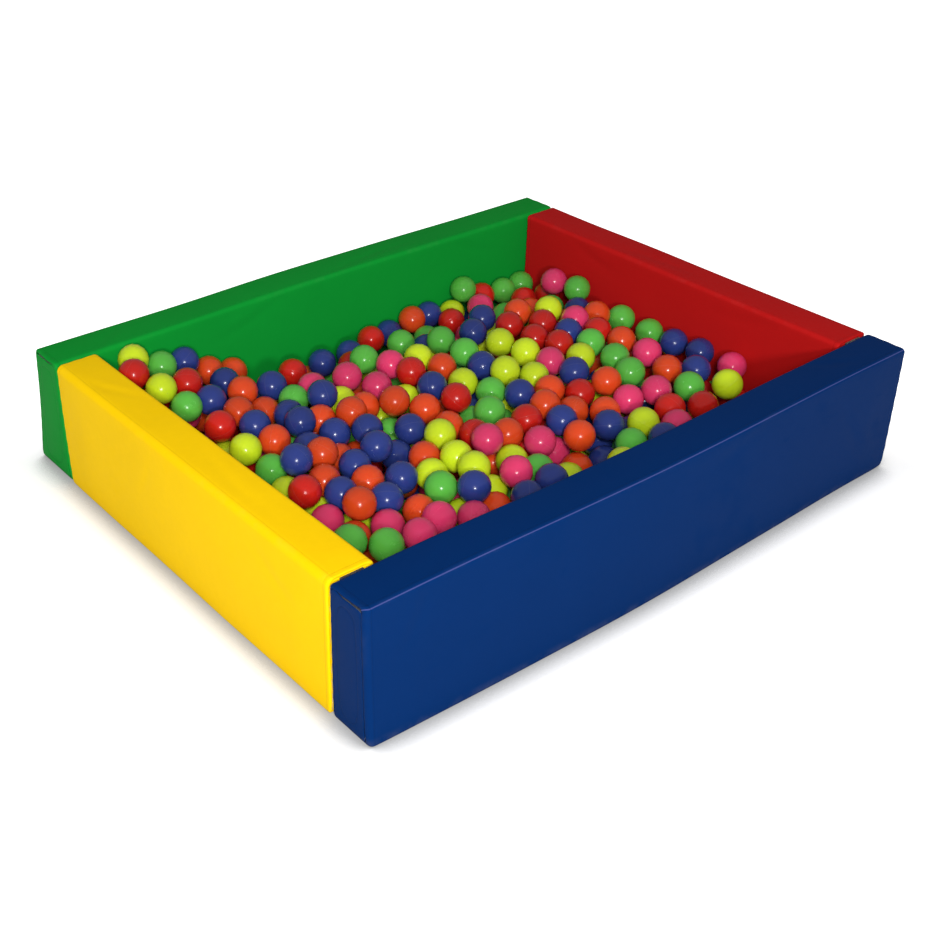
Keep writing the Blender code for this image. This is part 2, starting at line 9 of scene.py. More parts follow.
import bpy
import numpy as np
from bpy.props import FloatProperty, FloatVectorProperty, PointerProperty
from mathutils import Matrix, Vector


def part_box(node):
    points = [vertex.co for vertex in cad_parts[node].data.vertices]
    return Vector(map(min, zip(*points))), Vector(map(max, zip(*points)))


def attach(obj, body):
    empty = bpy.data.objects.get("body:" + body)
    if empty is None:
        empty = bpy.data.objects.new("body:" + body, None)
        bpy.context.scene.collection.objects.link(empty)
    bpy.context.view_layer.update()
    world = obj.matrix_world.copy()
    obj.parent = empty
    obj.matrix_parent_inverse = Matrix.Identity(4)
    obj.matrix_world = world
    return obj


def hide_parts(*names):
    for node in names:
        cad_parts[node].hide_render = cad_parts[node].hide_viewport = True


bl_info = {
    "name": "Foam ball pit",
    "version": (1, 0, 0),
    "blender": (4, 5, 0),
    "location": "3D View > Sidebar > Ball pit",
    "description": "Builds a padded ball pit with four soft walls, a floor mat and a heap of balls",
    "category": "Add Mesh",
}

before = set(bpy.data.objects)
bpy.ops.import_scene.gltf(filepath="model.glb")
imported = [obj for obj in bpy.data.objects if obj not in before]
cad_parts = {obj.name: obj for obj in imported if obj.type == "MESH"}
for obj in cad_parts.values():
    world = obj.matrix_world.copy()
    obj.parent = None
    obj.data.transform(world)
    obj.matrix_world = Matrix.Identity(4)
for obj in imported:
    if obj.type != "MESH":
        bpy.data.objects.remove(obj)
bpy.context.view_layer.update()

# The pit's sizes, as its solids have them
PIT_LENGTH = 1.500
PIT_WIDTH = 1.200
WALL_HEIGHT = float(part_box("blue_end_panel")[1][2]) + 0.0015
WALL_THICKNESS = 0.100
VINYL = 0.0012
SEAT_GAP = 0.0003
FLOOR_GAP = 0.0002
LONG_WALL_BOW = 0.010
TAPE_THICKNESS = 0.0016
TAPE_WIDTH = 0.050
TAPE_FOOT = 0.010
TAPE_HEAD = 0.004
MAT_THICKNESS = 0.030
BALL_RADIUS = 0.035
INNER_X = PIT_LENGTH / 2 - WALL_THICKNESS
INNER_Y = PIT_WIDTH / 2 - WALL_THICKNESS
CROSS_LENGTH = 2 * (INNER_Y - 2 * TAPE_THICKNESS - 3 * SEAT_GAP)
FLAP_STACK = 2 * VINYL + 2 * TAPE_THICKNESS + 4 * SEAT_GAP
FLAP_TAPE_TOP = WALL_HEIGHT - 0.0097
FLAP_TAPE_WIDTH = 0.070
FLAP_TAPE_HEIGHT = 0.025
UNDER_FLAP_DROP = 0.060
ZIP_SLOT = 0.012
ZIP_LIP = 0.005
ZIP_REACH = CROSS_LENGTH / 2 - 0.012

# Each wall: place of its frame, turn in degrees, whether it is a long one, and the end of its own
# x axis that opens with a flap
WALLS = {
    "blue": ((0.0, -PIT_WIDTH / 2 + WALL_THICKNESS / 2), 0.0, True, -1),
    "green": ((0.0, PIT_WIDTH / 2 - WALL_THICKNESS / 2), 180.0, True, 1),
    "red": ((PIT_LENGTH / 2 - WALL_THICKNESS / 2, 0.0), 90.0, False, 0),
    "yellow": ((-PIT_LENGTH / 2 + WALL_THICKNESS / 2, 0.0), -90.0, False, 0),
}

# The camera, as the photograph's perspective gives it. Pixels are of the photograph, 925 by 925
PHOTO_SIZE = 925
FOCAL_PIXELS = 1352.9
MIDDLE_PIXEL = (365.2, 464.6)
CAMERA_PLACE = (-1.8033, -1.9807, 1.6564)
CAMERA_HEADING = 37.417
CAMERA_DROP = 31.791
CAMERA_ROLL = -0.592

# Pixel of each ball that the photograph shows, by colour, and how far it lies under the heap's
# surface, in tenths of a ball
SEEN_GREEN = (
    (461, 292, 0), (502, 292, 0), (520, 284, 4), (579, 291, 0), (649, 332, 0), (590, 343, 0),
    (615, 357, 0), (689, 386, 0), (631, 443, 2), (401, 344, 1), (426, 341, 5), (441, 340, 2),
    (466, 353, 0), (492, 391, 3), (473, 418, 4), (369, 360, 0), (154, 363, 0), (184, 404, 0),
    (294, 399, 3), (292, 449, 4), (270, 470, 1), (357, 545, 3), (439, 492, 1), (538, 471, 1),
)
SEEN_LIME = (
    (129, 351, 2), (160, 391, 2), (247, 455, 2), (227, 447, 4), (284, 488, 4), (341, 397, 3),
    (322, 505, 4), (409, 397, 4), (421, 359, 1), (451, 311, 0), (435, 438, 1), (432, 475, 1),
    (477, 471, 0), (491, 486, 2), (459, 516, 3), (467, 384, 1), (500, 342, 0), (526, 352, 0),
    (505, 372, 0), (531, 379, 1), (548, 310, 1), (581, 356, 1), (509, 457, 3),
)
SEEN_RED = (
    (121, 364, 0), (189, 384, 0), (156, 397, 4), (241, 461, 4), (293, 376, 1), (304, 493, 0),
    (371, 339, 0), (408, 373, 0), (452, 322, 2), (484, 295, 4), (458, 400, 0), (473, 436, 2),
    (441, 528, 3), (524, 301, 3), (543, 323, 2), (535, 338, 2), (559, 343, 1), (551, 293, 4),
    (598, 331, 1), (577, 395, 2), (671, 411, 0), (703, 406, 0), (510, 324, 2),
)
SEEN_ORANGE = (
    (209, 370, 1), (232, 371, 4), (245, 393, 0), (237, 410, 2), (263, 410, 4), (323, 478, 1),
    (318, 460, 1), (339, 459, 1), (324, 420, 3), (350, 413, 0), (366, 406, 1), (392, 402, 0),
    (366, 479, 1), (357, 511, 0), (356, 534, 2), (439, 366, 2), (427, 411, 0), (448, 427, 1),
    (428, 459, 2), (415, 508, 2), (517, 313, 1), (554, 391, 2), (545, 405, 2), (506, 435, 0),
    (579, 437, 0), (568, 411, 4), (608, 411, 4), (604, 382, 0), (621, 340, 1), (601, 315, 0),
    (667, 369, 1), (495, 505, 4),
)
SEEN_PINK = (
    (311, 388, 2), (346, 381, 0), (377, 386, 1), (388, 364, 1), (385, 522, 2), (329, 521, 3),
    (415, 533, 2), (472, 514, 3), (481, 307, 0), (490, 441, 0), (516, 477, 0), (540, 441, 0),
    (550, 361, 0), (575, 319, 1), (553, 287, 4), (625, 401, 1), (656, 390, 0), (647, 352, 0),
    (676, 422, 1), (732, 366, 3),
)
SEEN_BLUE = (
    (181, 361, 0), (225, 383, 0), (211, 400, 1), (255, 425, 0), (322, 363, 0), (350, 354, 0),
    (323, 403, 0), (291, 415, 1), (302, 426, 1), (312, 447, 2), (298, 468, 0), (332, 438, 1),
    (366, 429, 0), (379, 447, 0), (357, 470, 2), (340, 495, 0), (411, 434, 0), (430, 387, 0),
    (394, 331, 5), (426, 314, 4), (482, 318, 1), (473, 332, 2), (484, 365, 0), (402, 477, 0),
    (402, 454, 3), (467, 494, 0), (520, 395, 0), (520, 494, 3), (562, 421, 0), (568, 332, 1),
    (577, 306, 2), (609, 425, 0), (674, 342, 0), (700, 352, 1), (696, 370, 1), (549, 482, 2),
)
SEEN_BALLS = {
    "green": SEEN_GREEN,
    "lime": SEEN_LIME,
    "red": SEEN_RED,
    "orange": SEEN_ORANGE,
    "pink": SEEN_PINK,
    "blue": SEEN_BLUE,
}
LOOSE_BALLS = [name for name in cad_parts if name.startswith("ball_") and name != "ball_bed"]
HEAP_SEED = 11

# Filling: how many middles are strewn up to which height and how far apart they stay, then the
# highest that is kept, its least depth under the surface, and its rise over it where a wall hides it
STREWN = 9000
STREW_TOP = 0.26
STREW_GAP = 0.050
FILL_TOP = 0.215
FILL_DEPTH = 0.050
HIDDEN_RISE = 0.004

# Settling: its rounds, the last ones without sinking, the first sinking step, the gap between
# balls and the highest middle
SETTLE_ROUNDS = 480
FIRM_ROUNDS = 140
SINK_STEP = 0.0006
BALL_GAP = 0.0003
HIGHEST_BALL = 0.2735


# Mesh making


def sizes():
    """The sizes that a user can change."""
    return bpy.context.scene.ball_pit.sizes


def grid_faces(count, around, closed=True):
    """Quads between count rings of around points. They face outwards where a ring runs from +y to
    +z and the next ring lies towards +x."""
    spans = around if closed else around - 1
    i, k = np.meshgrid(np.arange(count - 1), np.arange(spans), indexing="ij")
    near, far = i * around + k, i * around + (k + 1) % around
    return np.stack([near, far, far + around, near + around], axis=-1).reshape(-1, 4)


def fan_faces(ring, middle, forwards):
    """Triangles from a closed ring of point numbers to the number of its middle point."""
    after = np.roll(ring, -1)
    centre = np.full(len(ring), middle)
    return np.column_stack([centre, ring, after] if forwards else [centre, after, ring])


def lay_mesh(name, points, faces, fields=None):
    """A smooth mesh from points, arrays of faces with 3 or 4 corners, and a field per point."""
    mesh = bpy.data.meshes.new(name)
    corner_counts = np.concatenate([np.full(len(part), part.shape[1]) for part in faces])
    corners = np.concatenate([part.ravel() for part in faces])
    mesh.vertices.add(len(points))
    mesh.vertices.foreach_set("co", np.asarray(points, dtype=np.float32).ravel())
    mesh.loops.add(len(corners))
    mesh.loops.foreach_set("vertex_index", corners.astype(np.int32))
    mesh.polygons.add(len(corner_counts))
    starts = np.cumsum(corner_counts) - corner_counts
    mesh.polygons.foreach_set("loop_start", starts.astype(np.int32))
    mesh.update(calc_edges=True)
    for label, values in (fields or {}).items():
        values = np.asarray(values, dtype=np.float32)
        is_vector = values.ndim == 2
        field = mesh.attributes.new(label, "FLOAT_VECTOR" if is_vector else "FLOAT", "POINT")
        field.data.foreach_set("vector" if is_vector else "value", values.ravel())
    mesh.shade_smooth()
    return mesh


def add_piece(name, mesh, material, body, slot, *nodes, fill=None, shell=0.0, sharp=None):
    """One finished piece: its material, an inward thickness if it is a skin, and what it rides on."""
    mesh.materials.append(material)
    if sharp:
        mesh.set_sharp_from_angle(angle=math.radians(sharp))
    piece = bpy.data.objects.new(name, mesh)
    bpy.context.scene.collection.objects.link(piece)
    if shell:
        skin = piece.modifiers.new("Thickness", "SOLIDIFY")
        skin.thickness = shell
        skin.offset = -1.0
    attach(piece, body)
    if nodes:
        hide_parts(*nodes)
    return piece


def vinyl_fields(welt, run, around, from_end, edge):
    """The fields that the vinyl reads: distance from the welt, place along and around the cover for
    its stitches, distance from the nearer end, and how much of an edge a point lies on."""
    values = np.broadcast_arrays(welt, run, around, from_end, edge)
    names = ("welt", "run", "round", "from_end", "edge")
    return {name: value.ravel() for name, value in zip(names, values)}


def rings_of(x, y, z):
    """Rings of points from their coordinates, each given by ring, by point or by both."""
    return np.stack(np.broadcast_arrays(x, y, z), axis=-1)


def stand(points, wall):
    """Points of a wall's own frame in the pit's frame: a turn about z, then a shift."""
    (place_x, place_y), degrees = WALLS[wall][:2]
    turn = math.radians(degrees)
    x, y, z = points[..., 0], points[..., 1], points[..., 2]
    cos, sin = math.cos(turn), math.sin(turn)
    return np.stack([place_x + x * cos - y * sin, place_y + x * sin + y * cos, z], axis=-1)


def closed_bar(rings):
    """Points and faces of a solid carried through the rings, each end closed round its middle."""
    count, around = rings.shape[:2]
    points = np.concatenate([rings.reshape(-1, 3), rings[:1].mean(axis=1), rings[-1:].mean(axis=1)])
    total = count * around
    faces = [
        grid_faces(count, around),
        fan_faces(np.arange(around), total, False),
        fan_faces(np.arange(around) + total - around, total + 1, True),
    ]
    return points, faces


# Outlines: each is a closed run of (y, z) points with the outward normal at each


def straight(start, end, normal, count):
    """Even points from start up to, but not at, end."""
    share = np.arange(count)[:, None] / count
    points = np.array(start) * (1 - share) + np.array(end) * share
    return points, np.tile(np.array(normal, dtype=float), (count, 1))


def quarter(middle, radius, start, count):
    """Even points on a quarter circle from the angle start, in quarter turns."""
    turn = (start + np.arange(count) / count) * math.pi / 2
    normal = np.column_stack([np.cos(turn), np.sin(turn)])
    return np.array(middle) + radius * normal, normal


def bar_outline(half, low, high, radii, counts):
    """A rounded oblong from the middle of its underside towards +y: half of the underside, then a
    corner and a side in turn. radii are of the foot, top inner and top outer corners."""
    foot, inner, outer = radii
    under, side, top, bend = counts
    parts = [
        straight((0, low), (half - foot, low), (0, -1), under),
        quarter((half - foot, low + foot), foot, -1, bend),
        straight((half, low + foot), (half, high - inner), (1, 0), side),
        quarter((half - inner, high - inner), inner, 0, bend),
        straight((half - inner, high), (outer - half, high), (0, 1), top),
        quarter((outer - half, high - outer), outer, 1, bend),
        straight((-half, high - outer), (-half, low + foot), (-1, 0), side),
        quarter((foot - half, low + foot), foot, 2, bend),
        straight((foot - half, low), (0, low), (0, -1), under),
    ]
    return np.concatenate([p for p, _ in parts]), np.concatenate([n for _, n in parts])


def stations(low, high, count, fine):
    """Places along a bar: even ones, and closer ones at the distances fine from both ends."""
    fine = np.asarray(fine)
    middle = np.linspace(low + fine[-1] * 1.5, high - fine[-1] * 1.5, count)
    return np.concatenate([low + fine, middle, (high - fine)[::-1]])


# The soft form of the walls


END_STEPS = (0.0, 0.0003, 0.0011, 0.0025, 0.0045, 0.0070, 0.0100, 0.0140)

# Creases of each wall: face, place along the wall and up the face (across it on top), direction in
# degrees from the wall's run, length, half width and depth
CREASES = {
    "blue": (
        ("outer", -0.640, 0.235, 62, 0.10, 0.010, 0.0010),
        ("outer", 0.610, 0.120, -50, 0.12, 0.014, 0.0011),
        ("outer", 0.180, 0.262, 8, 0.16, 0.013, 0.0008),
        ("top", -0.560, -0.010, 35, 0.08, 0.010, 0.0008),
        ("top", 0.560, 0.010, -30, 0.09, 0.011, 0.0008),
        ("inner", 0.350, 0.250, 20, 0.10, 0.012, 0.0010),
    ),
    "green": (
        ("inner", -0.450, 0.255, 24, 0.12, 0.013, 0.0010),
        ("inner", 0.250, 0.245, -16, 0.14, 0.012, 0.0009),
        ("top", 0.600, 0.000, 38, 0.08, 0.011, 0.0010),
        ("top", -0.150, 0.008, 6, 0.20, 0.012, 0.0008),
        ("outer", 0.300, 0.180, 40, 0.14, 0.015, 0.0011),
        ("outer", -0.480, 0.150, -30, 0.12, 0.013, 0.0011),
    ),
    "red": (
        ("inner", 0.240, 0.255, 14, 0.12, 0.013, 0.0010),
        ("inner", -0.250, 0.262, -10, 0.14, 0.012, 0.0008),
        ("top", 0.060, 0.005, 5, 0.18, 0.013, 0.0009),
        ("outer", 0.150, 0.170, 48, 0.12, 0.014, 0.0012),
        ("outer", -0.330, 0.120, -35, 0.10, 0.012, 0.0010),
    ),
    "yellow": (
        ("outer", -0.185, 0.238, 33, 0.11, 0.009, 0.0016),
        ("outer", -0.120, 0.196, 60, 0.08, 0.008, 0.0011),
        ("outer", 0.330, 0.215, -28, 0.10, 0.012, 0.0009),
        ("top", -0.330, -0.012, 24, 0.10, 0.011, 0.0010),
        ("top", 0.120, -0.006, -6, 0.18, 0.012, 0.0008),
        ("inner", 0.200, 0.255, 12, 0.12, 0.012, 0.0009),
    ),
}

# Points around an end panel's edge, and the share of the edge's size that each ring inside it has
RIM_POINTS = 460
RING_SHARES = (1.0, 0.985, 0.96, 0.92, 0.86, 0.76, 0.62, 0.45, 0.25)

# A distance from the welt that no sewn line reaches, and how far a panel's edge is rubbed
NO_WELT = 1.0
PANEL_EDGE = 0.004

# Gap between a cover's end and the panel sewn into it, and the flap that closes it
SEWN_GAP = 0.0003
FLAP_GAP = 0.0006

# What every cover and sewn panel is made with
COVER_MAKE = {"fill": 0.9, "shell": VINYL}

# Seam round an end panel: how far the rim's form reaches in, and the depth and width of its dip
RIM_FADE = 0.0024
RIM_REACH = 0.008
SEAM_DIP = 0.0008
SEAM_WIDTH = 0.0013

# Height at which a flap starts to hang lower for its slit, and the rise over which it does
SLIT_FOOT = 0.24
SLIT_RISE = 0.05

# Long low waves in a cover: their count, turns along and round it, and share of the wave height
WAVE_COUNT = 7
WAVE_ALONG = (3.0, 16.0)
WAVE_AROUND = (-14.0, 14.0)
WAVE_SHARE = (0.12, 0.28)

# Gathers in a cover near its ends: height, pitch and reach
GATHER_HEIGHT = 0.0004
GATHER_PITCH = 0.034
GATHER_REACH = 0.016

# Swell of a wall's inner face, and how far a long wall's outer foot stands out with its bow
INNER_SWELL = 0.0008
BOWED_FOOT = 0.003

# Radii of a cover's rounded ends: outer side, the same at blue's flap, inner side, top of a long
# and of a cross wall, and foot
OUTER_END = 0.005
BLUE_FLAP_END = 0.013
INNER_END = 0.0046
LONG_TOP_END = 0.0052
CROSS_TOP_END = 0.0036
FOOT_END = 0.005

# How far foot corners are drawn in, at a long wall's sewn end and elsewhere, and the draw's reach
SEWN_TUCK = 0.009
FOOT_TUCK = 0.003
TUCK_REACH = 0.013

# Top corners: their reach, and how far a long wall's are drawn in. A cross wall's whole end is
# drawn in, apart from the ears at its top corners, which stand out
CORNER_REACH = 0.010
CORNER_DRAW = 0.0025
CROSS_REACH = 0.008
CROSS_DRAW = 0.0016
EAR_RISE = 0.0012

# How far the foam lies inside the outside of its cover, along its sides and at a sewn end
CORE_INSET = 0.0026
CORE_END_GAP = VINYL + 0.0018

# Radii of each wall's foot, top inner and top outer edges
EDGE_RADII = {
    "blue": (0.006, 0.0085, 0.0080), "green": (0.006, 0.0100, 0.0070),
    "red": (0.006, 0.0100, 0.0075), "yellow": (0.006, 0.0095, 0.0160),
}

# Where a wall's outer foot stands out further than its top: place along the wall, reach and depth
FOOT_FLARES = {
    "blue": ((-0.30, 0.32, 0.008), (-0.62, 0.24, 0.005), (0.20, 1.20, 0.006)),
    "green": ((0.75, 0.24, 0.050),), "red": (), "yellow": (),
}


def foot_flare(wall, x, y, z):
    """How far a wall's outer foot stands out.

    Bells along the wall, fading to 0 at its top and at its inner face.
    """
    rise, outwards = z / WALL_HEIGHT, np.clip(0.5 - y / WALL_THICKNESS, 0, 1)
    depth = sum(deep * np.exp(-(((x - at) / wide) ** 2)) for at, wide, deep in FOOT_FLARES[wall])
    return depth * np.clip(1 - rise, 0, 1) ** 1.6 * outwards


def bow_share(x, reach):
    """Share of a wall's bow: cosine squared, 1 in the middle and 0 from the reach on."""
    return np.cos(np.pi * np.clip(x / reach, -1.0, 1.0) / 2) ** 2


def crease_push(wall, x, points, normals):
    """Movement along the normal from a wall's creases: each is a valley with a low ridge beside it.

    Across a crease it is minus a bell curve plus half of one set to the side, and along it a bell.
    """
    y, z = points[:, 0], points[:, 1]
    faces = {
        "outer": (z, np.clip(-normals[:, 0], 0, 1)),
        "inner": (z, np.clip(normals[:, 0], 0, 1)),
        "top": (y, np.clip(normals[:, 1], 0, 1)),
    }
    push = np.zeros((len(x), len(points)))
    for face, at_x, at_up, degrees, length, width, depth in CREASES[wall]:
        up, share = faces[face]
        dx, dv = x[:, None] - at_x, up[None, :] - at_up
        cos, sin = math.cos(math.radians(degrees)), math.sin(math.radians(degrees))
        along, across = dx * cos + dv * sin, dv * cos - dx * sin
        across = across - 0.10 * along**2 / length
        valley = np.exp(-((across / width) ** 2)) - 0.5 * np.exp(-(((across - 1.9 * width) / width) ** 2))
        push -= depth * valley * np.exp(-((along / length) ** 2) * 2.2) * share[None, :] ** 2
    return push


def end_round(from_end, radius):
    """How far a side is drawn in near an end: the radius less the height of its quarter circle."""
    left = np.clip(1 - from_end / radius, 0, 1)
    return radius * (1 - np.sqrt(1 - left**2 * 0.9999))


def wall_form(wall, x, points, normals, inset=0.0, flared=True):
    """Points of a wall's soft surface at each place x for each point of its outline.

    To the carried outline it adds the bow, a swell on the outer face, a crowned top, long low
    waves, creases, rounded ends, ears at a cross wall's top corners and drawn-in foot corners.
    """
    _, _, is_long, flap_end = WALLS[wall]
    half = (PIT_LENGTH if is_long else CROSS_LENGTH) / 2
    reach = INNER_X if is_long else half
    y, z = points[:, 0][None, :], points[:, 1][None, :]
    ny, nz = normals[:, 0][None, :], normals[:, 1][None, :]
    outer, inner = np.clip(-ny, 0, 1) ** 2, np.clip(ny, 0, 1) ** 2
    top, under = np.clip(nz, 0, 1) ** 2, np.clip(-nz, 0, 1) ** 2
    column = x[:, None]
    from_end = half - np.abs(column)
    end = np.sign(column)
    share = bow_share(column, reach)
    rise = z / WALL_HEIGHT

    wave = np.random.default_rng(sum(map(ord, wall)))
    push = np.zeros((len(x), points.shape[0]))
    for _ in range(WAVE_COUNT):
        along, around = wave.uniform(*WAVE_ALONG), wave.uniform(*WAVE_AROUND)
        phase, size = wave.uniform(0, 2 * math.pi), wave.uniform(*WAVE_SHARE)
        push += size * sizes().wave_height * np.cos(along * column + around * (z - y) + phase)
    push += sizes().top_crown * top * np.cos(np.pi * y / WALL_THICKNESS) * np.clip(from_end / 0.06, 0, 1)
    push += INNER_SWELL * inner * np.sin(np.pi * rise) * np.clip(from_end / 0.15, 0, 1)
    push += sizes().crease_depth * crease_push(wall, x, points, normals)
    gather = np.cos(2 * math.pi * (z - y) / GATHER_PITCH) * np.exp(-from_end / GATHER_REACH)
    push += GATHER_HEIGHT * gather * (1 - under)
    push *= np.clip(1 - 1.2 * under, 0, 1)
    push -= inset

    # Rounded end: each side is drawn in to the middle by a quarter circle of its own radius
    outer_end = np.where((wall == "blue") & (end < 0), BLUE_FLAP_END, OUTER_END)
    across = np.where(y < 0, end_round(from_end, outer_end), end_round(from_end, INNER_END))
    top_end = end_round(from_end, LONG_TOP_END if is_long else CROSS_TOP_END)
    upward = np.where(z > WALL_HEIGHT / 2, top_end, end_round(from_end, FOOT_END))
    form_y = y + push * ny - across * y / (WALL_THICKNESS / 2)
    form_z = z + push * nz - upward * (z / (WALL_HEIGHT / 2) - 1)
    if is_long:
        form_y = form_y - LONG_WALL_BOW * share
        form_y = form_y - BOWED_FOOT * share * (1 - rise) ** 2 * outer
    if flared:
        form_y = form_y - foot_flare(wall, column, y, z)
    swell = sizes().outer_swell * outer * np.sin(np.pi * rise) * np.clip(from_end / 0.10, 0.25, 1)
    form_y = form_y - swell

    # Foot corners are drawn in and up at the ends
    low = np.exp(-np.clip(z, 0, None) / TUCK_REACH)
    tuck = np.where((end > 0) == (flap_end < 0), SEWN_TUCK, FOOT_TUCK) if is_long else FOOT_TUCK
    form_z = form_z + 0.55 * tuck * low * np.exp(-from_end / TUCK_REACH)
    form_x = column - end * tuck * low * np.exp(-from_end / TUCK_REACH)
    top_corner = np.exp(-np.clip(WALL_HEIGHT - z, 0, None) / CORNER_REACH)
    top_corner = top_corner * np.exp(-from_end / CORNER_REACH)
    if is_long:
        form_x = form_x - end * CORNER_DRAW * top_corner * np.clip(-y / 0.05, 0, 1)
    else:
        ears = np.clip((np.abs(y) - 0.028) / 0.02, 0, 1) ** 2
        form_x = form_x - end * CROSS_DRAW * np.exp(-from_end / CROSS_REACH) * (1 - ears * top_corner)
        form_x = form_x + end * EAR_RISE * top_corner * ears
    return rings_of(form_x, form_y, np.clip(form_z, FLOOR_GAP + inset, None))


def wall_outline(wall):
    """A wall's outline and normals. A cross wall's is cut open under the middle, with turned-up lips."""
    points, normals = bar_outline(WALL_THICKNESS / 2, 0.0, WALL_HEIGHT, EDGE_RADII[wall], (6, 36, 14, 7))
    if WALLS[wall][2]:
        return points, normals
    keep = np.abs(points[:, 0]) > ZIP_SLOT / 2 + 0.004
    keep |= points[:, 1] > WALL_THICKNESS / 2
    points, normals = points[keep], normals[keep]
    lip_y = ZIP_SLOT / 2
    first = [(lip_y, ZIP_LIP), (lip_y, 0.0022), (lip_y + 0.0007, 0.0006), (lip_y + 0.0022, 0.0)]
    facing = [(-1, 0), (-1, -0.3), (-0.7, -0.7), (0, -1)]
    last = [(-py, pz) for py, pz in reversed(first)]
    last_facing = [(-ny, nz) for ny, nz in reversed(facing)]
    return np.concatenate([first, points, last]), np.concatenate([facing, normals, last_facing])


def sleeve_fields(wall, x, points, normals):
    """Fields of a sleeve, whose welt runs along its outer top edge."""
    length = PIT_LENGTH if WALLS[wall][2] else CROSS_LENGTH
    step = np.hypot(*np.diff(points, axis=0, append=points[:1]).T)
    run = np.cumsum(step) - step
    corner = (normals[:, 0] < -0.1) & (normals[:, 1] > 0.1)
    welt = run - run[corner].mean()
    edge = np.abs(2 * normals[:, 0] * normals[:, 1])
    from_end = length / 2 - np.abs(x)
    edge = np.clip(edge + np.exp(-from_end / 0.005)[:, None], 0, 1)
    return vinyl_fields(welt, x[:, None], run, from_end[:, None], edge)


def make_sleeves(looks):
    """The four vinyl covers: the wall's soft form over its full length, as a skin."""
    for wall, (_, _, is_long, _) in WALLS.items():
        half = (PIT_LENGTH if is_long else CROSS_LENGTH) / 2
        points, normals = wall_outline(wall)
        x = stations(-half, half, 150 if is_long else 104, END_STEPS)
        form = stand(wall_form(wall, x, points, normals), wall)
        faces = [grid_faces(len(x), len(points), closed=is_long)]
        fields = sleeve_fields(wall, x, points, normals)
        mesh = lay_mesh(f"{wall}_sleeve", form.reshape(-1, 3), faces, fields)
        vinyl, body = looks[f"{wall}_vinyl"], f"{wall}_wall"
        add_piece(f"{wall}_sleeve", mesh, vinyl, body, f"{wall}_vinyl", f"{wall}_cover", **COVER_MAKE)


def end_form(wall, end, gap, drop=None):
    """Points of the panel that closes a wall's end, in rings from its edge to its middle.

    Each ring is the rim of the sleeve, in even steps, drawn in towards the middle. The edge dips
    to make the seam, and the face swells by the product of two parabolas. drop lowers its top
    edge where a flap leaves a slit.
    """
    is_long = WALLS[wall][2]
    points, normals = wall_outline(wall)
    if not is_long:
        points, normals = points[3:-3], normals[3:-3]
    half = (PIT_LENGTH if is_long else CROSS_LENGTH) / 2
    rim = wall_form(wall, np.array([end * half]), points, normals, inset=gap, flared=False)[0]
    step = np.linalg.norm(np.diff(rim, axis=0, append=rim[:1]), axis=1)
    along = np.cumsum(step) - step
    even = np.arange(RIM_POINTS) * step.sum() / RIM_POINTS
    rim = np.column_stack([np.interp(even, along, each, period=step.sum()) for each in rim.T])
    middle = np.array([rim[:, 0].mean(), rim[:, 1].mean(), WALL_HEIGHT / 2])
    rings = middle + (rim - middle) * np.array(RING_SHARES)[:, None, None]
    ring_y, ring_z = rings[..., 1].copy(), rings[..., 2].copy()
    low, high = rim.min(axis=0), rim.max(axis=0)
    off_side = np.minimum(high[1] - ring_y, ring_y - low[1]).clip(0)
    off_foot = np.minimum(high[2] - ring_z, ring_z - low[2]).clip(0)
    inward = off_side * off_foot / (off_side + off_foot + 1e-6)
    across = (2 * ring_y - low[1] - high[1]) / (high[1] - low[1])
    up = (2 * ring_z - low[2] - high[2]) / (high[2] - low[2])
    swell = sizes().end_swell * (1 - across**2).clip(0) * (1 - up**2).clip(0)
    fade = np.exp(-inward / RIM_FADE) * np.clip(1 - inward / RIM_REACH, 0, 1) ** 2
    dip = SEAM_DIP * np.exp(-((inward / SEAM_WIDTH) ** 2))
    rings[..., 0] = rim[:, 0][None, :] * fade + end * (half + swell) * (1 - fade) - end * dip
    if drop is not None:
        rings[..., 2] -= drop(ring_y) * np.clip((ring_z - SLIT_FOOT) / SLIT_RISE, 0, 1)
    rings[..., 1] -= foot_flare(wall, end * half, ring_y, ring_z)
    top = np.array([[end * (half + sizes().end_swell), rings[-1, :, 1].mean(), middle[2]]])
    return rings, top, np.clip(inward, 0, None)


def end_mesh(name, wall, end, gap, drop=None):
    """The mesh of an end panel or flap, facing out of the wall's end."""
    rings, top, inward = end_form(wall, end, gap, drop)
    count, around = rings.shape[:2]
    points = stand(np.concatenate([rings.reshape(-1, 3), top]), wall)
    quads = grid_faces(count, around)
    fan = fan_faces(np.arange(around) + (count - 1) * around, count * around, True)
    if end < 0:
        quads, fan = quads[:, ::-1], fan[:, ::-1]
    inward = np.append(inward.ravel(), WALL_THICKNESS / 2)
    run = np.append(rings[..., 2].ravel() + rings[..., 1].ravel(), 0)
    fields = vinyl_fields(inward + NO_WELT, run, run, inward, np.exp(-inward / PANEL_EDGE))
    return lay_mesh(name, points, [quads, fan], fields)


def make_ends(looks):
    """The sewn end panels: one on each long wall, two on each cross wall."""
    for wall, (_, turn, is_long, flap_end) in WALLS.items():
        ends = {"": -flap_end}
        if not is_long:
            words = ("_front", "_back") if math.sin(math.radians(turn)) > 0 else ("_back", "_front")
            ends = dict(zip(words, (-1, 1)))
        vinyl, body = looks[f"{wall}_vinyl"], f"{wall}_wall"
        for word, end in ends.items():
            name, node = f"{wall}_sewn_end{word}", f"{wall}_end_panel{word}"
            mesh = end_mesh(name, wall, end, SEWN_GAP)
            add_piece(name, mesh, vinyl, body, f"{wall}_vinyl", node, **COVER_MAKE)


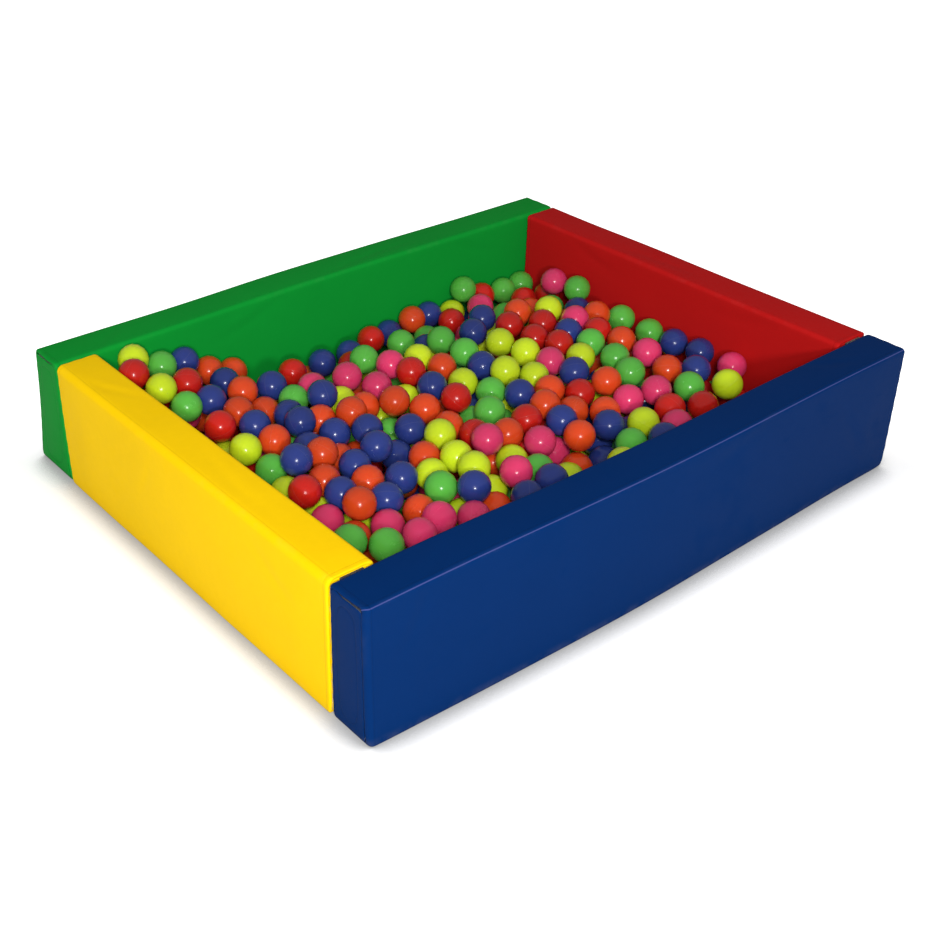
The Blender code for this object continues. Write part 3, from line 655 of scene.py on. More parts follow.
def slit(y):
    """How far a flap's top edge hangs under the cover: the flap's gap, and over most of its width
    the slit's height too."""
    begin = np.clip((0.032 - y) / 0.020, 0, 1)
    close = np.clip((y + 0.048) / 0.008, 0, 1)
    return FLAP_GAP + sizes().slit_height * begin**0.6 * close


def tongue_mesh(name, wall, flap_end):
    """The mesh of a tongue: a strip of vinyl that hangs from the cover's top, with slight ripples."""
    start = PIT_LENGTH / 2 - FLAP_STACK
    ceiling = WALL_HEIGHT - VINYL - SEAT_GAP
    outline, _ = bar_outline(WALL_THICKNESS / 2 - 0.008, 0.0, VINYL, (0.0004,) * 3, (6, 1, 12, 2))
    across, through = outline.T
    z = np.linspace(ceiling - UNDER_FLAP_DROP, ceiling, 16)[:, None]
    ripple = 0.00015 * np.cos(across * 90 + z * 60)
    crown = 0.0008 * np.cos(np.pi * across / WALL_THICKNESS)
    x = flap_end * (start + through + ripple)
    points, faces = closed_bar(rings_of(x, across * (-flap_end), z + crown * (z > ceiling - 0.02)))
    fields = vinyl_fields(NO_WELT, points[:, 1], points[:, 2], points[:, 2] - z[0], 0.0)
    return lay_mesh(name, stand(points, wall), faces, fields)


def make_flaps(looks):
    """The flap at the left end of each long wall, and the tongue of the cover that lies under it."""
    for wall, (_, _, is_long, flap_end) in WALLS.items():
        if not is_long:
            continue
        vinyl, slot = looks[f"{wall}_vinyl"], f"{wall}_vinyl"
        name, node = f"{wall}_flap_panel", f"{wall}_end_flap"
        mesh = end_mesh(name, wall, flap_end, FLAP_GAP, slit)
        add_piece(name, mesh, vinyl, f"{wall}_flap", slot, node, fill=0.5, shell=VINYL)
        name, node = f"{wall}_tongue", f"{wall}_under_flap"
        mesh = tongue_mesh(name, wall, flap_end)
        add_piece(name, mesh, vinyl, f"{wall}_wall", slot, node, fill=0.2, sharp=50)


def make_cores(looks):
    """The foam block in each wall: the wall's soft form, inside the cover, with closed ends."""
    for wall, (_, _, is_long, flap_end) in WALLS.items():
        radii = [radius + 0.002 for radius in EDGE_RADII[wall]]
        points, normals = bar_outline(WALL_THICKNESS / 2, 0.0, WALL_HEIGHT, radii, (5, 14, 6, 5))
        inside = CROSS_LENGTH / 2 - CORE_END_GAP
        low, high = -inside, inside
        if is_long:
            at_flap = flap_end * (PIT_LENGTH / 2 - FLAP_STACK - FLAP_GAP)
            low, high = sorted((at_flap, -flap_end * (PIT_LENGTH / 2 - CORE_END_GAP)))
        x = stations(low, high, 44, (0.0, 0.0008, 0.0030, 0.0080))
        form = wall_form(wall, x, points, normals, inset=CORE_INSET)
        if not is_long:
            groove = np.abs(form[..., 1]) < ZIP_SLOT / 2 + VINYL + 0.0045
            groove &= form[..., 2] < 0.03
            form[..., 2] = np.where(groove, 0.0075, form[..., 2])
        ends = np.minimum(x - low, high - x)
        round_off = np.where(ends < 0.003, 0.0012 * (1 - ends / 0.003), 0.0)
        form[..., 1:] -= round_off[:, None, None] * normals[None, :, :]
        rings, faces = closed_bar(form)
        mesh = lay_mesh(f"{wall}_foam", stand(rings, wall), faces)
        add_piece(
            f"{wall}_foam", mesh, looks["foam"], f"{wall}_wall", "foam", f"{wall}_foam_core",
            fill=1.0, sharp=60,
        )


# Tapes and zips


# Seeds of the tapes' uneven edges, and what every tape piece is made with
LOOP_SEED = 20
HOOK_SEED = 40
FLAP_TAPE_SEED = 60
TAPE_MAKE = {"fill": 0.2, "sharp": 50}
ZIP_TEETH = 300
SLIDER_START = -ZIP_REACH + 0.0223
PULL_START = -ZIP_REACH + 0.0220
SLIDER_BASE = ZIP_LIP - 0.0030


def ribbon(length, width, thickness, seed, steps=60):
    """A stiff tape from z 0 up, x across and y through it, with slightly uneven edges.

    Its section is a flat oblong, and its width follows a sum of three waves along the tape.
    """
    outline, _ = bar_outline(width / 2, 0.0, thickness, (thickness * 0.4,) * 3, (8, 1, 16, 2))
    z = np.linspace(0.0, length, steps)
    draw = np.random.default_rng(seed)
    ripple = np.zeros(steps)
    for pitch in (0.11, 0.037, 0.013):
        ripple += draw.uniform(0.3, 1.0) * np.cos(2 * math.pi * z / pitch + draw.uniform(0, 6))
    return rings_of(outline[:, 0] * (1 + 0.012 * ripple[:, None]), outline[:, 1], z[:, None])


def corner_tape(wall, name, turn_out, middle, face, seed):
    """The mesh of an upright tape on a wall.

    Its thickness lies along +y where turn_out is 0, and otherwise along x, out of the wall's end.
    """
    rings = ribbon(WALL_HEIGHT - TAPE_HEAD - TAPE_FOOT, TAPE_WIDTH, TAPE_THICKNESS, seed)
    x, y, z = rings[..., 0], rings[..., 1], rings[..., 2] + TAPE_FOOT
    if turn_out == 0:
        rings = np.stack([middle + x, face + y, z], axis=-1)
    else:
        rings = np.stack([face + turn_out * y, x, z], axis=-1)
    points, faces = closed_bar(rings)
    if turn_out > 0:
        faces = [part[:, ::-1] for part in faces]
    return lay_mesh(name, stand(points, wall), faces)


def make_corner_tapes(looks):
    """Loop tape on the long walls' inner faces, and hook tape on the cross walls' ends."""
    for number, (wall, (_, turn, is_long, flap_end)) in enumerate(WALLS.items()):
        for side, word in ((-1, "left"), (1, "right")):
            seed = number + side
            if is_long:
                name = f"{wall}_loop_tape_{word}"
                middle = -side * flap_end * (PIT_LENGTH / 2 - WALL_THICKNESS / 2)
                face = WALL_THICKNESS / 2 + SEAT_GAP
                mesh = corner_tape(wall, f"{name}_strip", 0, middle, face, LOOP_SEED + seed)
            else:
                word = "front" if side * math.sin(math.radians(turn)) < 0 else "back"
                name = f"{wall}_hook_tape_{word}"
                face = side * (CROSS_LENGTH / 2 + SEAT_GAP)
                mesh = corner_tape(wall, f"{name}_strip", side, 0.0, face, HOOK_SEED + seed)
            add_piece(f"{name}_strip", mesh, looks["tape"], f"{wall}_wall", "tape", name, **TAPE_MAKE)


def make_flap_tapes(looks):
    """The short tapes that hold a flap: hooks on the flap, loops on the tongue."""
    for wall, (_, _, is_long, flap_end) in WALLS.items():
        if not is_long:
            continue
        start = {"hook": VINYL + SEAT_GAP, "loop": VINYL + 2 * SEAT_GAP + TAPE_THICKNESS}
        for kind, body in (("hook", f"{wall}_flap"), ("loop", f"{wall}_wall")):
            thickness, seed = TAPE_THICKNESS * 0.94, FLAP_TAPE_SEED + flap_end
            rings = ribbon(FLAP_TAPE_WIDTH, FLAP_TAPE_HEIGHT, thickness, seed, 24)
            across, through, up = rings[..., 2], rings[..., 1], rings[..., 0]
            x = flap_end * (PIT_LENGTH / 2 - start[kind] - 0.0001 - through)
            y = across - FLAP_TAPE_WIDTH / 2
            z = FLAP_TAPE_TOP - FLAP_TAPE_HEIGHT / 2 + up
            points, faces = closed_bar(np.stack([x, y, z], axis=-1))
            if flap_end > 0:
                faces = [part[:, ::-1] for part in faces]
            name = f"{wall}_flap_{kind}_tape"
            mesh = lay_mesh(f"{name}_strip", stand(points, wall), faces)
            add_piece(f"{name}_strip", mesh, looks["flap_tape"], body, "tape", name, **TAPE_MAKE)


def make_zips(looks):
    """The zip under each cross wall: webbing, toothed coil, slider and pull."""
    for wall, (_, _, is_long, _) in WALLS.items():
        if is_long:
            continue
        body, runner, metal = f"{wall}_wall", f"{wall}_zip_runner", looks["metal"]
        name, node = f"{wall}_zip_web", f"{wall}_zip_webbing"
        add_piece(name, web_mesh(name, wall), looks["zip"], body, "zip", node, fill=0.1, sharp=50)
        name = f"{wall}_zip_teeth"
        add_piece(name, coil_mesh(name, wall), looks["zip"], body, "zip", f"{wall}_zip_coil")
        name = f"{wall}_zip_runner_body"
        add_piece(name, slider_mesh(name, wall), metal, runner, "metal", f"{wall}_zip_slider", sharp=40)
        name = f"{wall}_zip_tab"
        add_piece(name, pull_mesh(name, wall), metal, runner, "metal", f"{wall}_zip_pull", sharp=40)


def web_mesh(name, wall):
    """The webbing of a zip: a flat strip over the slot."""
    half, low = ZIP_SLOT / 2 + VINYL + 0.004, ZIP_LIP + SEAT_GAP
    outline, _ = bar_outline(half, low, low + 0.0008, (0.0003,) * 3, (6, 1, 12, 2))
    x = np.linspace(-ZIP_REACH, ZIP_REACH, 90)
    points, faces = closed_bar(rings_of(x[:, None], outline[:, 0], outline[:, 1]))
    return lay_mesh(name, stand(points, wall), faces)


def coil_mesh(name, wall):
    """The coil of a zip: a flattened rod with a notch between each two teeth."""
    x = np.linspace(-ZIP_REACH, ZIP_REACH, ZIP_TEETH * 5 + 1)
    turn = np.arange(10) / 10 * 2 * math.pi
    notch = 0.5 + 0.5 * np.cos(np.linspace(0, 2 * math.pi * ZIP_TEETH, len(x)))[:, None]
    y = 0.0020 * (0.72 + 0.28 * notch) * np.cos(turn)
    z = ZIP_LIP - 0.00078 + 0.00072 * (0.60 + 0.40 * notch) * np.sin(turn)
    points, faces = closed_bar(rings_of(x[:, None], y, z))
    return lay_mesh(name, stand(points, wall), faces)


def slider_mesh(name, wall):
    """A zip slider: a channel round the coil, carried along x, wider at its nose than at its tail."""
    inner, outer = 0.0023, 0.0035
    floor, base = ZIP_LIP - 0.0018, SLIDER_BASE
    section = np.array([
        (-outer + 0.0005, base), (outer - 0.0005, base), (outer, base + 0.0005), (outer, ZIP_LIP - 0.0003),
        (outer - 0.0003, ZIP_LIP), (inner, ZIP_LIP), (inner, floor), (-inner, floor), (-inner, ZIP_LIP),
        (-outer + 0.0003, ZIP_LIP), (-outer, ZIP_LIP - 0.0003), (-outer, base + 0.0005),
    ])
    along = np.array([0.0, 0.0004, 0.002, 0.005, 0.009, 0.012, 0.0136, 0.014])
    width = np.array([0.86, 0.94, 0.97, 1.0, 1.06, 1.10, 1.06, 0.98])
    y = section[:, 0] * width[:, None]
    points, faces = closed_bar(rings_of(SLIDER_START + along[:, None], y, section[:, 1]))
    return lay_mesh(name, stand(points, wall), faces)


def pull_mesh(name, wall):
    """A flat pull tab with a hole: a ring-shaped band from the hole's rim to the tab's outline."""
    around = 40
    turn = np.arange(around) / around * 2 * math.pi
    cos, sin = np.cos(turn), np.sin(turn)
    rim_x = -0.011 + 0.0108 * np.sign(cos) * np.abs(cos) ** 0.45
    rim_y = 0.00245 * np.sign(sin) * np.abs(sin) ** 0.45
    hole_x, hole_y = -0.0175 + 0.0024 * cos, 0.0013 * sin
    profile = np.array([
        (0.0, 0.0003), (0.12, 0.0), (0.9, 0.0), (1.0, 0.0003),
        (1.0, 0.0009), (0.9, 0.0012), (0.12, 0.0012), (0.0, 0.0009),
    ])
    share, count = profile[:, :1], len(profile)
    rings = np.stack([
        hole_x * (1 - share) + rim_x * share + PULL_START,
        hole_y * (1 - share) + rim_y * share,
        np.tile(SLIDER_BASE + profile[:, 1:], around),
    ], axis=-1)
    points = rings.reshape(-1, 3)
    i, k = np.meshgrid(np.arange(count), np.arange(around), indexing="ij")
    near, far = i * around + k, i * around + (k + 1) % around
    up_near, up_far = (i + 1) % count * around + k, (i + 1) % count * around + (k + 1) % around
    faces = np.stack([near, up_near, up_far, far], axis=-1).reshape(-1, 4)
    return lay_mesh(name, stand(points, wall), [faces])


# Mat: its gap to the walls, half its length and width, and the radius of its cover's ends
MAT_GAP = 0.0005
MAT_HALF_X = INNER_X - MAT_GAP
MAT_HALF_Y = INNER_Y - MAT_GAP
MAT_END = 0.003


def mat_form(x, inset):
    """The mat's rings at each place x, with long low waves in its top, and its outline."""
    points, normals = bar_outline(MAT_HALF_Y, 0.0, MAT_THICKNESS, (0.006,) * 3, (40, 4, 80, 5))
    wave = 0.0005 * np.cos(7 * x[:, None] + 9 * points[:, 0]) - 0.0005
    push = wave * np.clip(normals[:, 1], 0, 1) - inset
    y, z = points[:, 0] + push * normals[:, 0], points[:, 1] + push * normals[:, 1]
    return rings_of(x[:, None], y, z), points, normals


def mat_panel_mesh(name, side, edge):
    """The mesh of a sewn end of the mat, in rings from its edge to a line through its middle."""
    share = np.array([1.0, 0.97, 0.9, 0.7, 0.4])
    middle = np.array([0.0, MAT_THICKNESS / 2])
    shrunk = (edge - middle) * np.array([1 - 0.0003 / MAT_HALF_Y, 0.975])
    column = share[:, None]
    x = side * (MAT_HALF_X - 0.0010 * column**10)
    panel = rings_of(x, shrunk[:, 0] * (1 - 0.02 * (1 - column)), middle[1] + shrunk[:, 1] * column)
    spine = panel[-1].copy()
    spine[:, 2] = middle[1]
    spine[:, 0] = side * MAT_HALF_X
    points = np.concatenate([panel.reshape(-1, 3), spine])
    quads = grid_faces(len(share) + 1, len(edge))
    if side < 0:
        quads = quads[:, ::-1]
    inward = np.repeat(np.append(1 - share, 1.0) * MAT_THICKNESS / 2, len(edge))
    run = points[:, 1]
    fields = vinyl_fields(inward + NO_WELT, run, run, inward, np.exp(-inward / PANEL_EDGE))
    return lay_mesh(name, points, [quads], fields)


def make_mat(looks):
    """The floor mat: a sleeve with long low waves in its top, the foam in it and its two sewn ends."""
    x = stations(-MAT_HALF_X, MAT_HALF_X, 60, (0.0, 0.0005, 0.0020, 0.0050))
    rings, points, normals = mat_form(x, 0.0)
    ends = MAT_HALF_X - np.abs(x)
    rings[..., 1:] -= end_round(ends, MAT_END)[:, None, None] * normals
    rings[..., 2] = np.maximum(rings[..., 2], FLOOR_GAP)
    edge = np.abs(2 * normals[:, 0] * normals[:, 1])
    from_welt = points[:, 1] - MAT_THICKNESS / 2
    fields = vinyl_fields(from_welt, x[:, None] + points[:, 0], points[:, 0], ends[:, None], edge)
    mesh = lay_mesh("mat_sleeve", rings.reshape(-1, 3), [grid_faces(len(x), len(points))], fields)
    vinyl, body = looks["blue_vinyl"], "floor_and_heap"
    add_piece("mat_sleeve", mesh, vinyl, body, "blue_vinyl", "mat_cover", **COVER_MAKE)

    inset = VINYL + 0.0010
    core, _, _ = mat_form(np.linspace(-MAT_HALF_X + inset, MAT_HALF_X - inset, 30), inset)
    mesh = lay_mesh("mat_foam", *closed_bar(core))
    add_piece("mat_foam", mesh, looks["foam"], body, "foam", "mat_foam_core", fill=1.0, sharp=60)

    for side, word, last in ((-1, "left", rings[0]), (1, "right", rings[-1])):
        name, node = f"mat_sewn_end_{word}", f"mat_end_panel_{word}"
        mesh = mat_panel_mesh(name, side, last[:, 1:])
        add_piece(name, mesh, vinyl, body, "blue_vinyl", node, **COVER_MAKE)


# Balls


def camera_axes():
    """The camera's right, up and forward directions from its heading, drop and roll."""
    heading, drop, roll = (math.radians(a) for a in (CAMERA_HEADING, CAMERA_DROP, CAMERA_ROLL))
    forward = np.array([
        math.sin(heading) * math.cos(drop), math.cos(heading) * math.cos(drop), -math.sin(drop)
    ])
    level = np.array([math.cos(heading), -math.sin(heading), 0.0])
    upright = np.cross(level, forward)
    right = level * math.cos(roll) + upright * math.sin(roll)
    return right, np.cross(right, forward), forward


def ease(value):
    """0 below 0, 1 above 1, and a smooth rise between."""
    share = np.clip(value, 0.0, 1.0)
    return share * share * (3 - 2 * share)


def heap_height(x, y):
    """Height of the heap's upper balls.

    It slopes up a little to the right and the back, is high in the corner of the yellow and green
    walls, and falls off along the rest of the green wall and along the red one.
    """
    slope = 0.012 * x / INNER_X + 0.016 * y / INNER_Y
    mound = 0.022 * np.exp(-((x + 0.45) ** 2 + (y - 0.40) ** 2) / 0.30**2)
    corner = 0.060 * np.exp(-((x + 0.62) ** 2 + (y - 0.46) ** 2) / 0.15**2)
    to_back = ease((x + 0.50) / 0.20) * ease((y - 0.22) / 0.24)
    to_right = 0.65 * ease((x - 0.46) / 0.17)
    fall = 0.090 * (1 - (1 - to_back) * (1 - to_right))
    return 0.192 + slope + mound + corner - fall


def sight_lines(pixels):
    """Direction from the camera through each pixel of the photograph, unit length."""
    right, up, forward = camera_axes()
    across = (pixels[:, 0] - MIDDLE_PIXEL[0]) / FOCAL_PIXELS
    down = (pixels[:, 1] - MIDDLE_PIXEL[1]) / FOCAL_PIXELS
    lines = forward + across[:, None] * right - down[:, None] * up
    return lines / np.linalg.norm(lines, axis=1, keepdims=True)


def meet_heap(lines, depth):
    """Where each sight line meets the heap's surface, lowered by depth, by repeated correction.

    A line that meets it outside the walls stops where a ball would touch the wall that it crosses.
    """
    eye = np.array(CAMERA_PLACE)
    room_x, room_y = INNER_X - BALL_RADIUS - 0.001, INNER_Y - BALL_RADIUS - 0.001
    height = np.full(len(lines), 0.2)
    for _ in range(30):
        reach = (height - eye[2]) / lines[:, 2]
        place = eye + reach[:, None] * lines
        height = heap_height(place[:, 0], place[:, 1]) - depth
    bulge = LONG_WALL_BOW * bow_share(place[:, 0], INNER_X)
    enter = np.maximum((-room_x - eye[0]) / lines[:, 0], (-room_y - bulge - eye[1]) / lines[:, 1])
    leave = np.minimum((room_x - eye[0]) / lines[:, 0], (room_y + bulge - eye[1]) / lines[:, 1])
    return eye + np.clip(reach, enter, leave)[:, None] * lines


def hidden_by_walls(places):
    """True where the front and left walls hide the top of a ball from the camera."""
    eye = np.array(CAMERA_PLACE)
    top = places + np.array([0.0, 0.0, BALL_RADIUS])
    hidden = np.zeros(len(places), dtype=bool)
    for axis, wall in ((0, -INNER_X), (1, -INNER_Y)):
        share = (wall - top[:, axis]) / (eye[axis] - top[:, axis])
        cross = top[:, 2] + share * (eye[2] - top[:, 2])
        hidden |= cross < WALL_HEIGHT - 0.004
    return hidden


def in_photo(places):
    """Pixels of the photograph at which places show, and how far each is from the camera's plane."""
    right, up, forward = camera_axes()
    away = places - np.array(CAMERA_PLACE)
    depth = away @ forward
    across = MIDDLE_PIXEL[0] + FOCAL_PIXELS * (away @ right) / depth
    return np.column_stack([across, MIDDLE_PIXEL[1] - FOCAL_PIXELS * (away @ up) / depth]), depth


def over_skyline(places, taken):
    """True where a ball would show above the upper edge that the seen balls make in the photograph."""
    spots, depth = in_photo(places)
    seen, seen_depth = in_photo(taken)
    radius = FOCAL_PIXELS * BALL_RADIUS / seen_depth
    gap = np.abs(spots[:, None, 0] - seen[None, :, 0])
    reach = np.sqrt(np.clip(radius[None] ** 2 - gap**2, 0, None))
    tops = np.where(gap < radius[None], seen[None, :, 1] - reach, 1e4).min(axis=1)
    return spots[:, 1] - FOCAL_PIXELS * BALL_RADIUS / depth < tops - 1


def filling(draw, taken):
    """Balls under and around the seen ones, strewn evenly through what is left of the heap."""
    room_x, room_y = INNER_X - BALL_RADIUS, INNER_Y - BALL_RADIUS
    low = MAT_THICKNESS + BALL_RADIUS
    places = draw.uniform((-room_x, -room_y, low), (room_x, room_y, STREW_TOP), (STREWN, 3))
    surface = heap_height(places[:, 0], places[:, 1])
    hidden = hidden_by_walls(places)
    keep = places[:, 2] < np.minimum(surface, FILL_TOP) - np.where(hidden, -HIDDEN_RISE, FILL_DEPTH)
    keep &= hidden | ~over_skyline(places, taken)
    kept = []
    near = list(taken)
    for place in places[keep]:
        apart = np.linalg.norm(np.array(near) - place, axis=1).min()
        if apart > STREW_GAP:
            near.append(place)
            kept.append(place)
    return np.array(kept)


def settle(places, lines, loose_count, seen_count):
    """Pushes overlapping balls apart and lets them sink, while seen balls stay on their sight lines.

    In each round a pair closer than a diameter is moved apart along its line of middles, loose
    balls stay put, seen balls are drawn back to their sight lines, and all stay inside the pit.
    """
    diameter = 2 * BALL_RADIUS + BALL_GAP
    eye = np.array(CAMERA_PLACE)
    home = places.copy()
    seen = slice(loose_count, loose_count + seen_count)
    weight = np.ones(len(places))
    weight[:loose_count] = 0.0
    weight[seen] = 0.6
    for turn in range(SETTLE_ROUNDS):
        cooling = 1 - turn / (SETTLE_ROUNDS - FIRM_ROUNDS)
        if turn % 6 == 0:
            gap = places[:, None] - places[None]
            near = (gap**2).sum(axis=2) < (1.3 * diameter) ** 2
            first, second = np.nonzero(np.triu(near, 1))
        apart = places[first] - places[second]
        distance = np.linalg.norm(apart, axis=1)
        overlap = np.clip(diameter - distance, 0, None)
        total = weight[first] + weight[second] + 1e-9
        push = apart / (distance[:, None] + 1e-9) * (overlap / total)[:, None]
        move = np.zeros_like(places)
        for axis in range(3):
            move[:, axis] += np.bincount(first, push[:, axis] * weight[first], len(places))
            move[:, axis] -= np.bincount(second, push[:, axis] * weight[second], len(places))
        places = places + 0.9 * move
        if cooling > 0:
            reach = ((places[seen] - eye) * lines).sum(axis=1)
            on_line = eye + reach[:, None] * lines
            places[seen] += 0.35 * cooling * (on_line - places[seen]) + 0.02 * (home[seen] - places[seen])
            places[loose_count:, 2] -= SINK_STEP * cooling
        places[:loose_count] = home[:loose_count]
        x, y, z = places.T
        side = INNER_X - BALL_RADIUS - 0.0015
        bulge = LONG_WALL_BOW * bow_share(x, INNER_X)
        front = INNER_Y - BALL_RADIUS - 0.0015 + bulge
        places = np.column_stack([
            np.clip(x, -side, side), np.clip(y, -front, front),
            np.clip(z, MAT_THICKNESS + BALL_RADIUS + 0.0002, HIGHEST_BALL),
        ])
        places[:loose_count] = home[:loose_count]
    return places


def pile_up():
    """Middle and colour of every heap ball, seen ones and filling, after settling."""
    draw = np.random.default_rng(HEAP_SEED)
    loose = np.array([np.mean(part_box(name), axis=0) for name in LOOSE_BALLS])
    seen = np.array([spot for spots in SEEN_BALLS.values() for spot in spots], dtype=float)
    names = np.concatenate([[colour] * len(spots) for colour, spots in SEEN_BALLS.items()])
    lines = sight_lines(seen[:, :2])
    seen_places = meet_heap(lines, seen[:, 2] * 0.1 * 2 * BALL_RADIUS)
    fill = filling(draw, np.concatenate([loose, seen_places]))
    fill_names = draw.choice(list(SEEN_BALLS), len(fill))
    start = np.concatenate([loose, seen_places, fill])
    places = settle(start, lines, len(loose), len(seen))
    return places[len(loose):], np.concatenate([names, fill_names]), draw


def ball_shell(parts):
    """Directions and quads of a ball: a cube's faces cut into parts by even angles, corners shared.

    A face point (u, v) in quarter turns from -1 to 1 goes to (1, tan 45u, tan 45v), unit length.
    """
    even = np.tan(np.linspace(-1, 1, parts + 1) * math.pi / 4)
    u, v = (a.ravel() for a in np.meshgrid(even, even, indexing="ij"))
    one = np.ones_like(u)
    sides = [(one, u, v), (-one, v, u), (v, one, u), (u, -one, v), (u, v, one), (v, u, -one)]
    raw = np.concatenate([np.column_stack(side) for side in sides])
    raw /= np.linalg.norm(raw, axis=1, keepdims=True)
    i, k = (a.ravel() for a in np.meshgrid(np.arange(parts), np.arange(parts), indexing="ij"))
    near = i * (parts + 1) + k
    quad = np.column_stack([near, near + parts + 1, near + parts + 2, near + 1])
    faces = np.concatenate([quad + n * (parts + 1) ** 2 for n in range(6)])
    _, keep, shared = np.unique(np.round(raw, 6), axis=0, return_index=True, return_inverse=True)
    return raw[keep], shared.ravel()[faces]


def turns(draw, count):
    """Even random turns as 3 by 3 matrices, from unit quaternions."""
    four = draw.normal(size=(4, count))
    w, x, y, z = four / np.linalg.norm(four, axis=0)
    return np.stack([
        np.stack([1 - 2 * (y * y + z * z), 2 * (x * y - z * w), 2 * (x * z + y * w)], axis=-1),
        np.stack([2 * (x * y + z * w), 1 - 2 * (x * x + z * z), 2 * (y * z - x * w)], axis=-1),
        np.stack([2 * (x * z - y * w), 2 * (y * z + x * w), 1 - 2 * (x * x + y * y)], axis=-1),
    ], axis=1)


def make_heap(looks):
    """The heap: every ball is a sphere about its middle, and balls of one colour are one piece."""
    places, names, draw = pile_up()
    spin = turns(draw, len(places))
    tone = draw.uniform(0, 1, len(places))
    surface = heap_height(places[:, 0], places[:, 1])
    shows = places[:, 2] > surface - 0.075
    shows |= np.abs(places[:, 0]) > INNER_X - 0.06
    shows |= np.abs(places[:, 1]) > INNER_Y - 0.06
    for colour in SEEN_BALLS:
        points, faces, on_ball, tones, offset = [], [], [], [], 0
        for parts, chosen in ((4, shows), (2, ~shows)):
            pick = np.nonzero((names == colour) & chosen)[0]
            shell, quads = ball_shell(parts)
            turned = np.einsum("nij,kj->nki", spin[pick], shell)
            fit = BALL_RADIUS * (1.003 if parts == 4 else 1.0)
            points.append((places[pick][:, None] + fit * turned).reshape(-1, 3))
            shift = offset + np.arange(len(pick))[:, None, None] * len(shell)
            faces.append((quads[None] + shift).reshape(-1, 4))
            on_ball.append(np.tile(shell, (len(pick), 1)))
            tones.append(np.repeat(tone[pick], len(shell)))
            offset += len(pick) * len(shell)
        fields = {"on_ball": np.concatenate(on_ball), "tone": np.concatenate(tones)}
        name, ball = f"{colour}_heap_balls", f"{colour}_ball"
        mesh = lay_mesh(name, np.concatenate(points), faces, fields)
        add_piece(name, mesh, looks[ball], "floor_and_heap", ball, "ball_bed")


def make_loose_balls(looks):
    """Each loose ball: a sphere on rings of latitude with the mould's seam round its middle and a
    small sunk gate mark at each pole. Radius: a ball's, plus a bell at the seam, less one at a pole."""
    draw = np.random.default_rng(HEAP_SEED + 1)
    near = np.radians([0.0, 0.9, 1.8, 3.0, 5.0])
    wide = np.radians(np.arange(9.0, 86.0, 5.5))
    tilt = np.concatenate([near, wide, np.radians([87.0, 88.6])])
    latitude = np.concatenate([-tilt[:0:-1], tilt])
    around = 56
    turn = np.arange(around) / around * 2 * math.pi
    radius = BALL_RADIUS - 0.00015 + sizes().seam_height * np.exp(-((latitude / math.radians(1.3)) ** 2))
    radius = radius - 0.0004 * np.exp(-(((np.abs(latitude) - math.pi / 2) / math.radians(3.2)) ** 2))
    rings = np.stack([
        np.sin(latitude)[:, None] + 0 * turn[None, :],
        np.cos(latitude)[:, None] * np.cos(turn)[None, :],
        np.cos(latitude)[:, None] * np.sin(turn)[None, :],
    ], axis=-1)
    shell, faces = closed_bar(rings * radius[:, None, None])
    unit = shell / np.linalg.norm(shell, axis=1, keepdims=True)
    spin = turns(draw, len(LOOSE_BALLS))
    for number, name in enumerate(LOOSE_BALLS):
        colour = name.split("_")[1]
        middle = np.mean(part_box(name), axis=0)
        points = middle + shell @ spin[number].T
        fields = {"on_ball": unit[:, [1, 2, 0]], "tone": np.full(len(unit), draw.uniform(0, 1))}
        mesh = lay_mesh(f"{name}_shell", points, faces, fields)
        add_piece(f"{name}_shell", mesh, looks[f"{colour}_ball"], name, f"{colour}_ball", name)


# Materials


def wire(tree, kind, inputs=None, **settings):
    """Adds a node, makes its settings, and fills or joins its inputs by name or number."""
    node = tree.nodes.new(kind)
    for key, value in settings.items():
        setattr(node, key, value)
    for key, value in (inputs or {}).items():
        if isinstance(value, bpy.types.NodeSocket):
            tree.links.new(value, node.inputs[key])
        else:
            node.inputs[key].default_value = value
    return node


def figure(tree, operation, first, second=0.0, third=0.0, clamp=False):
    """The output of a Math node."""
    inputs = {0: first, 1: second, 2: third}
    return wire(tree, "ShaderNodeMath", inputs, operation=operation, use_clamp=clamp).outputs[0]


def spread(tree, value, low, high, to_low=0.0, to_high=1.0):
    """The output of a Map Range node that runs smoothly from one range to another."""
    inputs = {"Value": value, "From Min": low, "From Max": high, "To Min": to_low, "To Max": to_high}
    return wire(tree, "ShaderNodeMapRange", inputs, interpolation_type="SMOOTHSTEP").outputs["Result"]


def cloud(tree, place, scale, detail=3.0, roughness=0.55):
    """The factor of a Noise texture."""
    inputs = {"Vector": place, "Scale": scale, "Detail": detail, "Roughness": roughness}
    return wire(tree, "ShaderNodeTexNoise", inputs).outputs["Fac"]


def grey(tree, value):
    """A grey of the given brightness."""
    return wire(tree, "ShaderNodeCombineColor", {0: value, 1: value, 2: value}).outputs[0]


def object_place(tree):
    """The Object output of a Texture Coordinate node."""
    return tree.nodes.new("ShaderNodeTexCoord").outputs["Object"]


def blend_colour(tree, share, first, second, mode="MIX"):
    """The colour output of a Mix node."""
    node = wire(tree, "ShaderNodeMix", {0: share, 6: first, 7: second}, data_type="RGBA", blend_type=mode)
    return node.outputs[2]


def field(tree, name, vector=False):
    """A field that the mesh carries."""
    node = wire(tree, "ShaderNodeAttribute", attribute_name=name)
    return node.outputs["Vector" if vector else "Fac"]


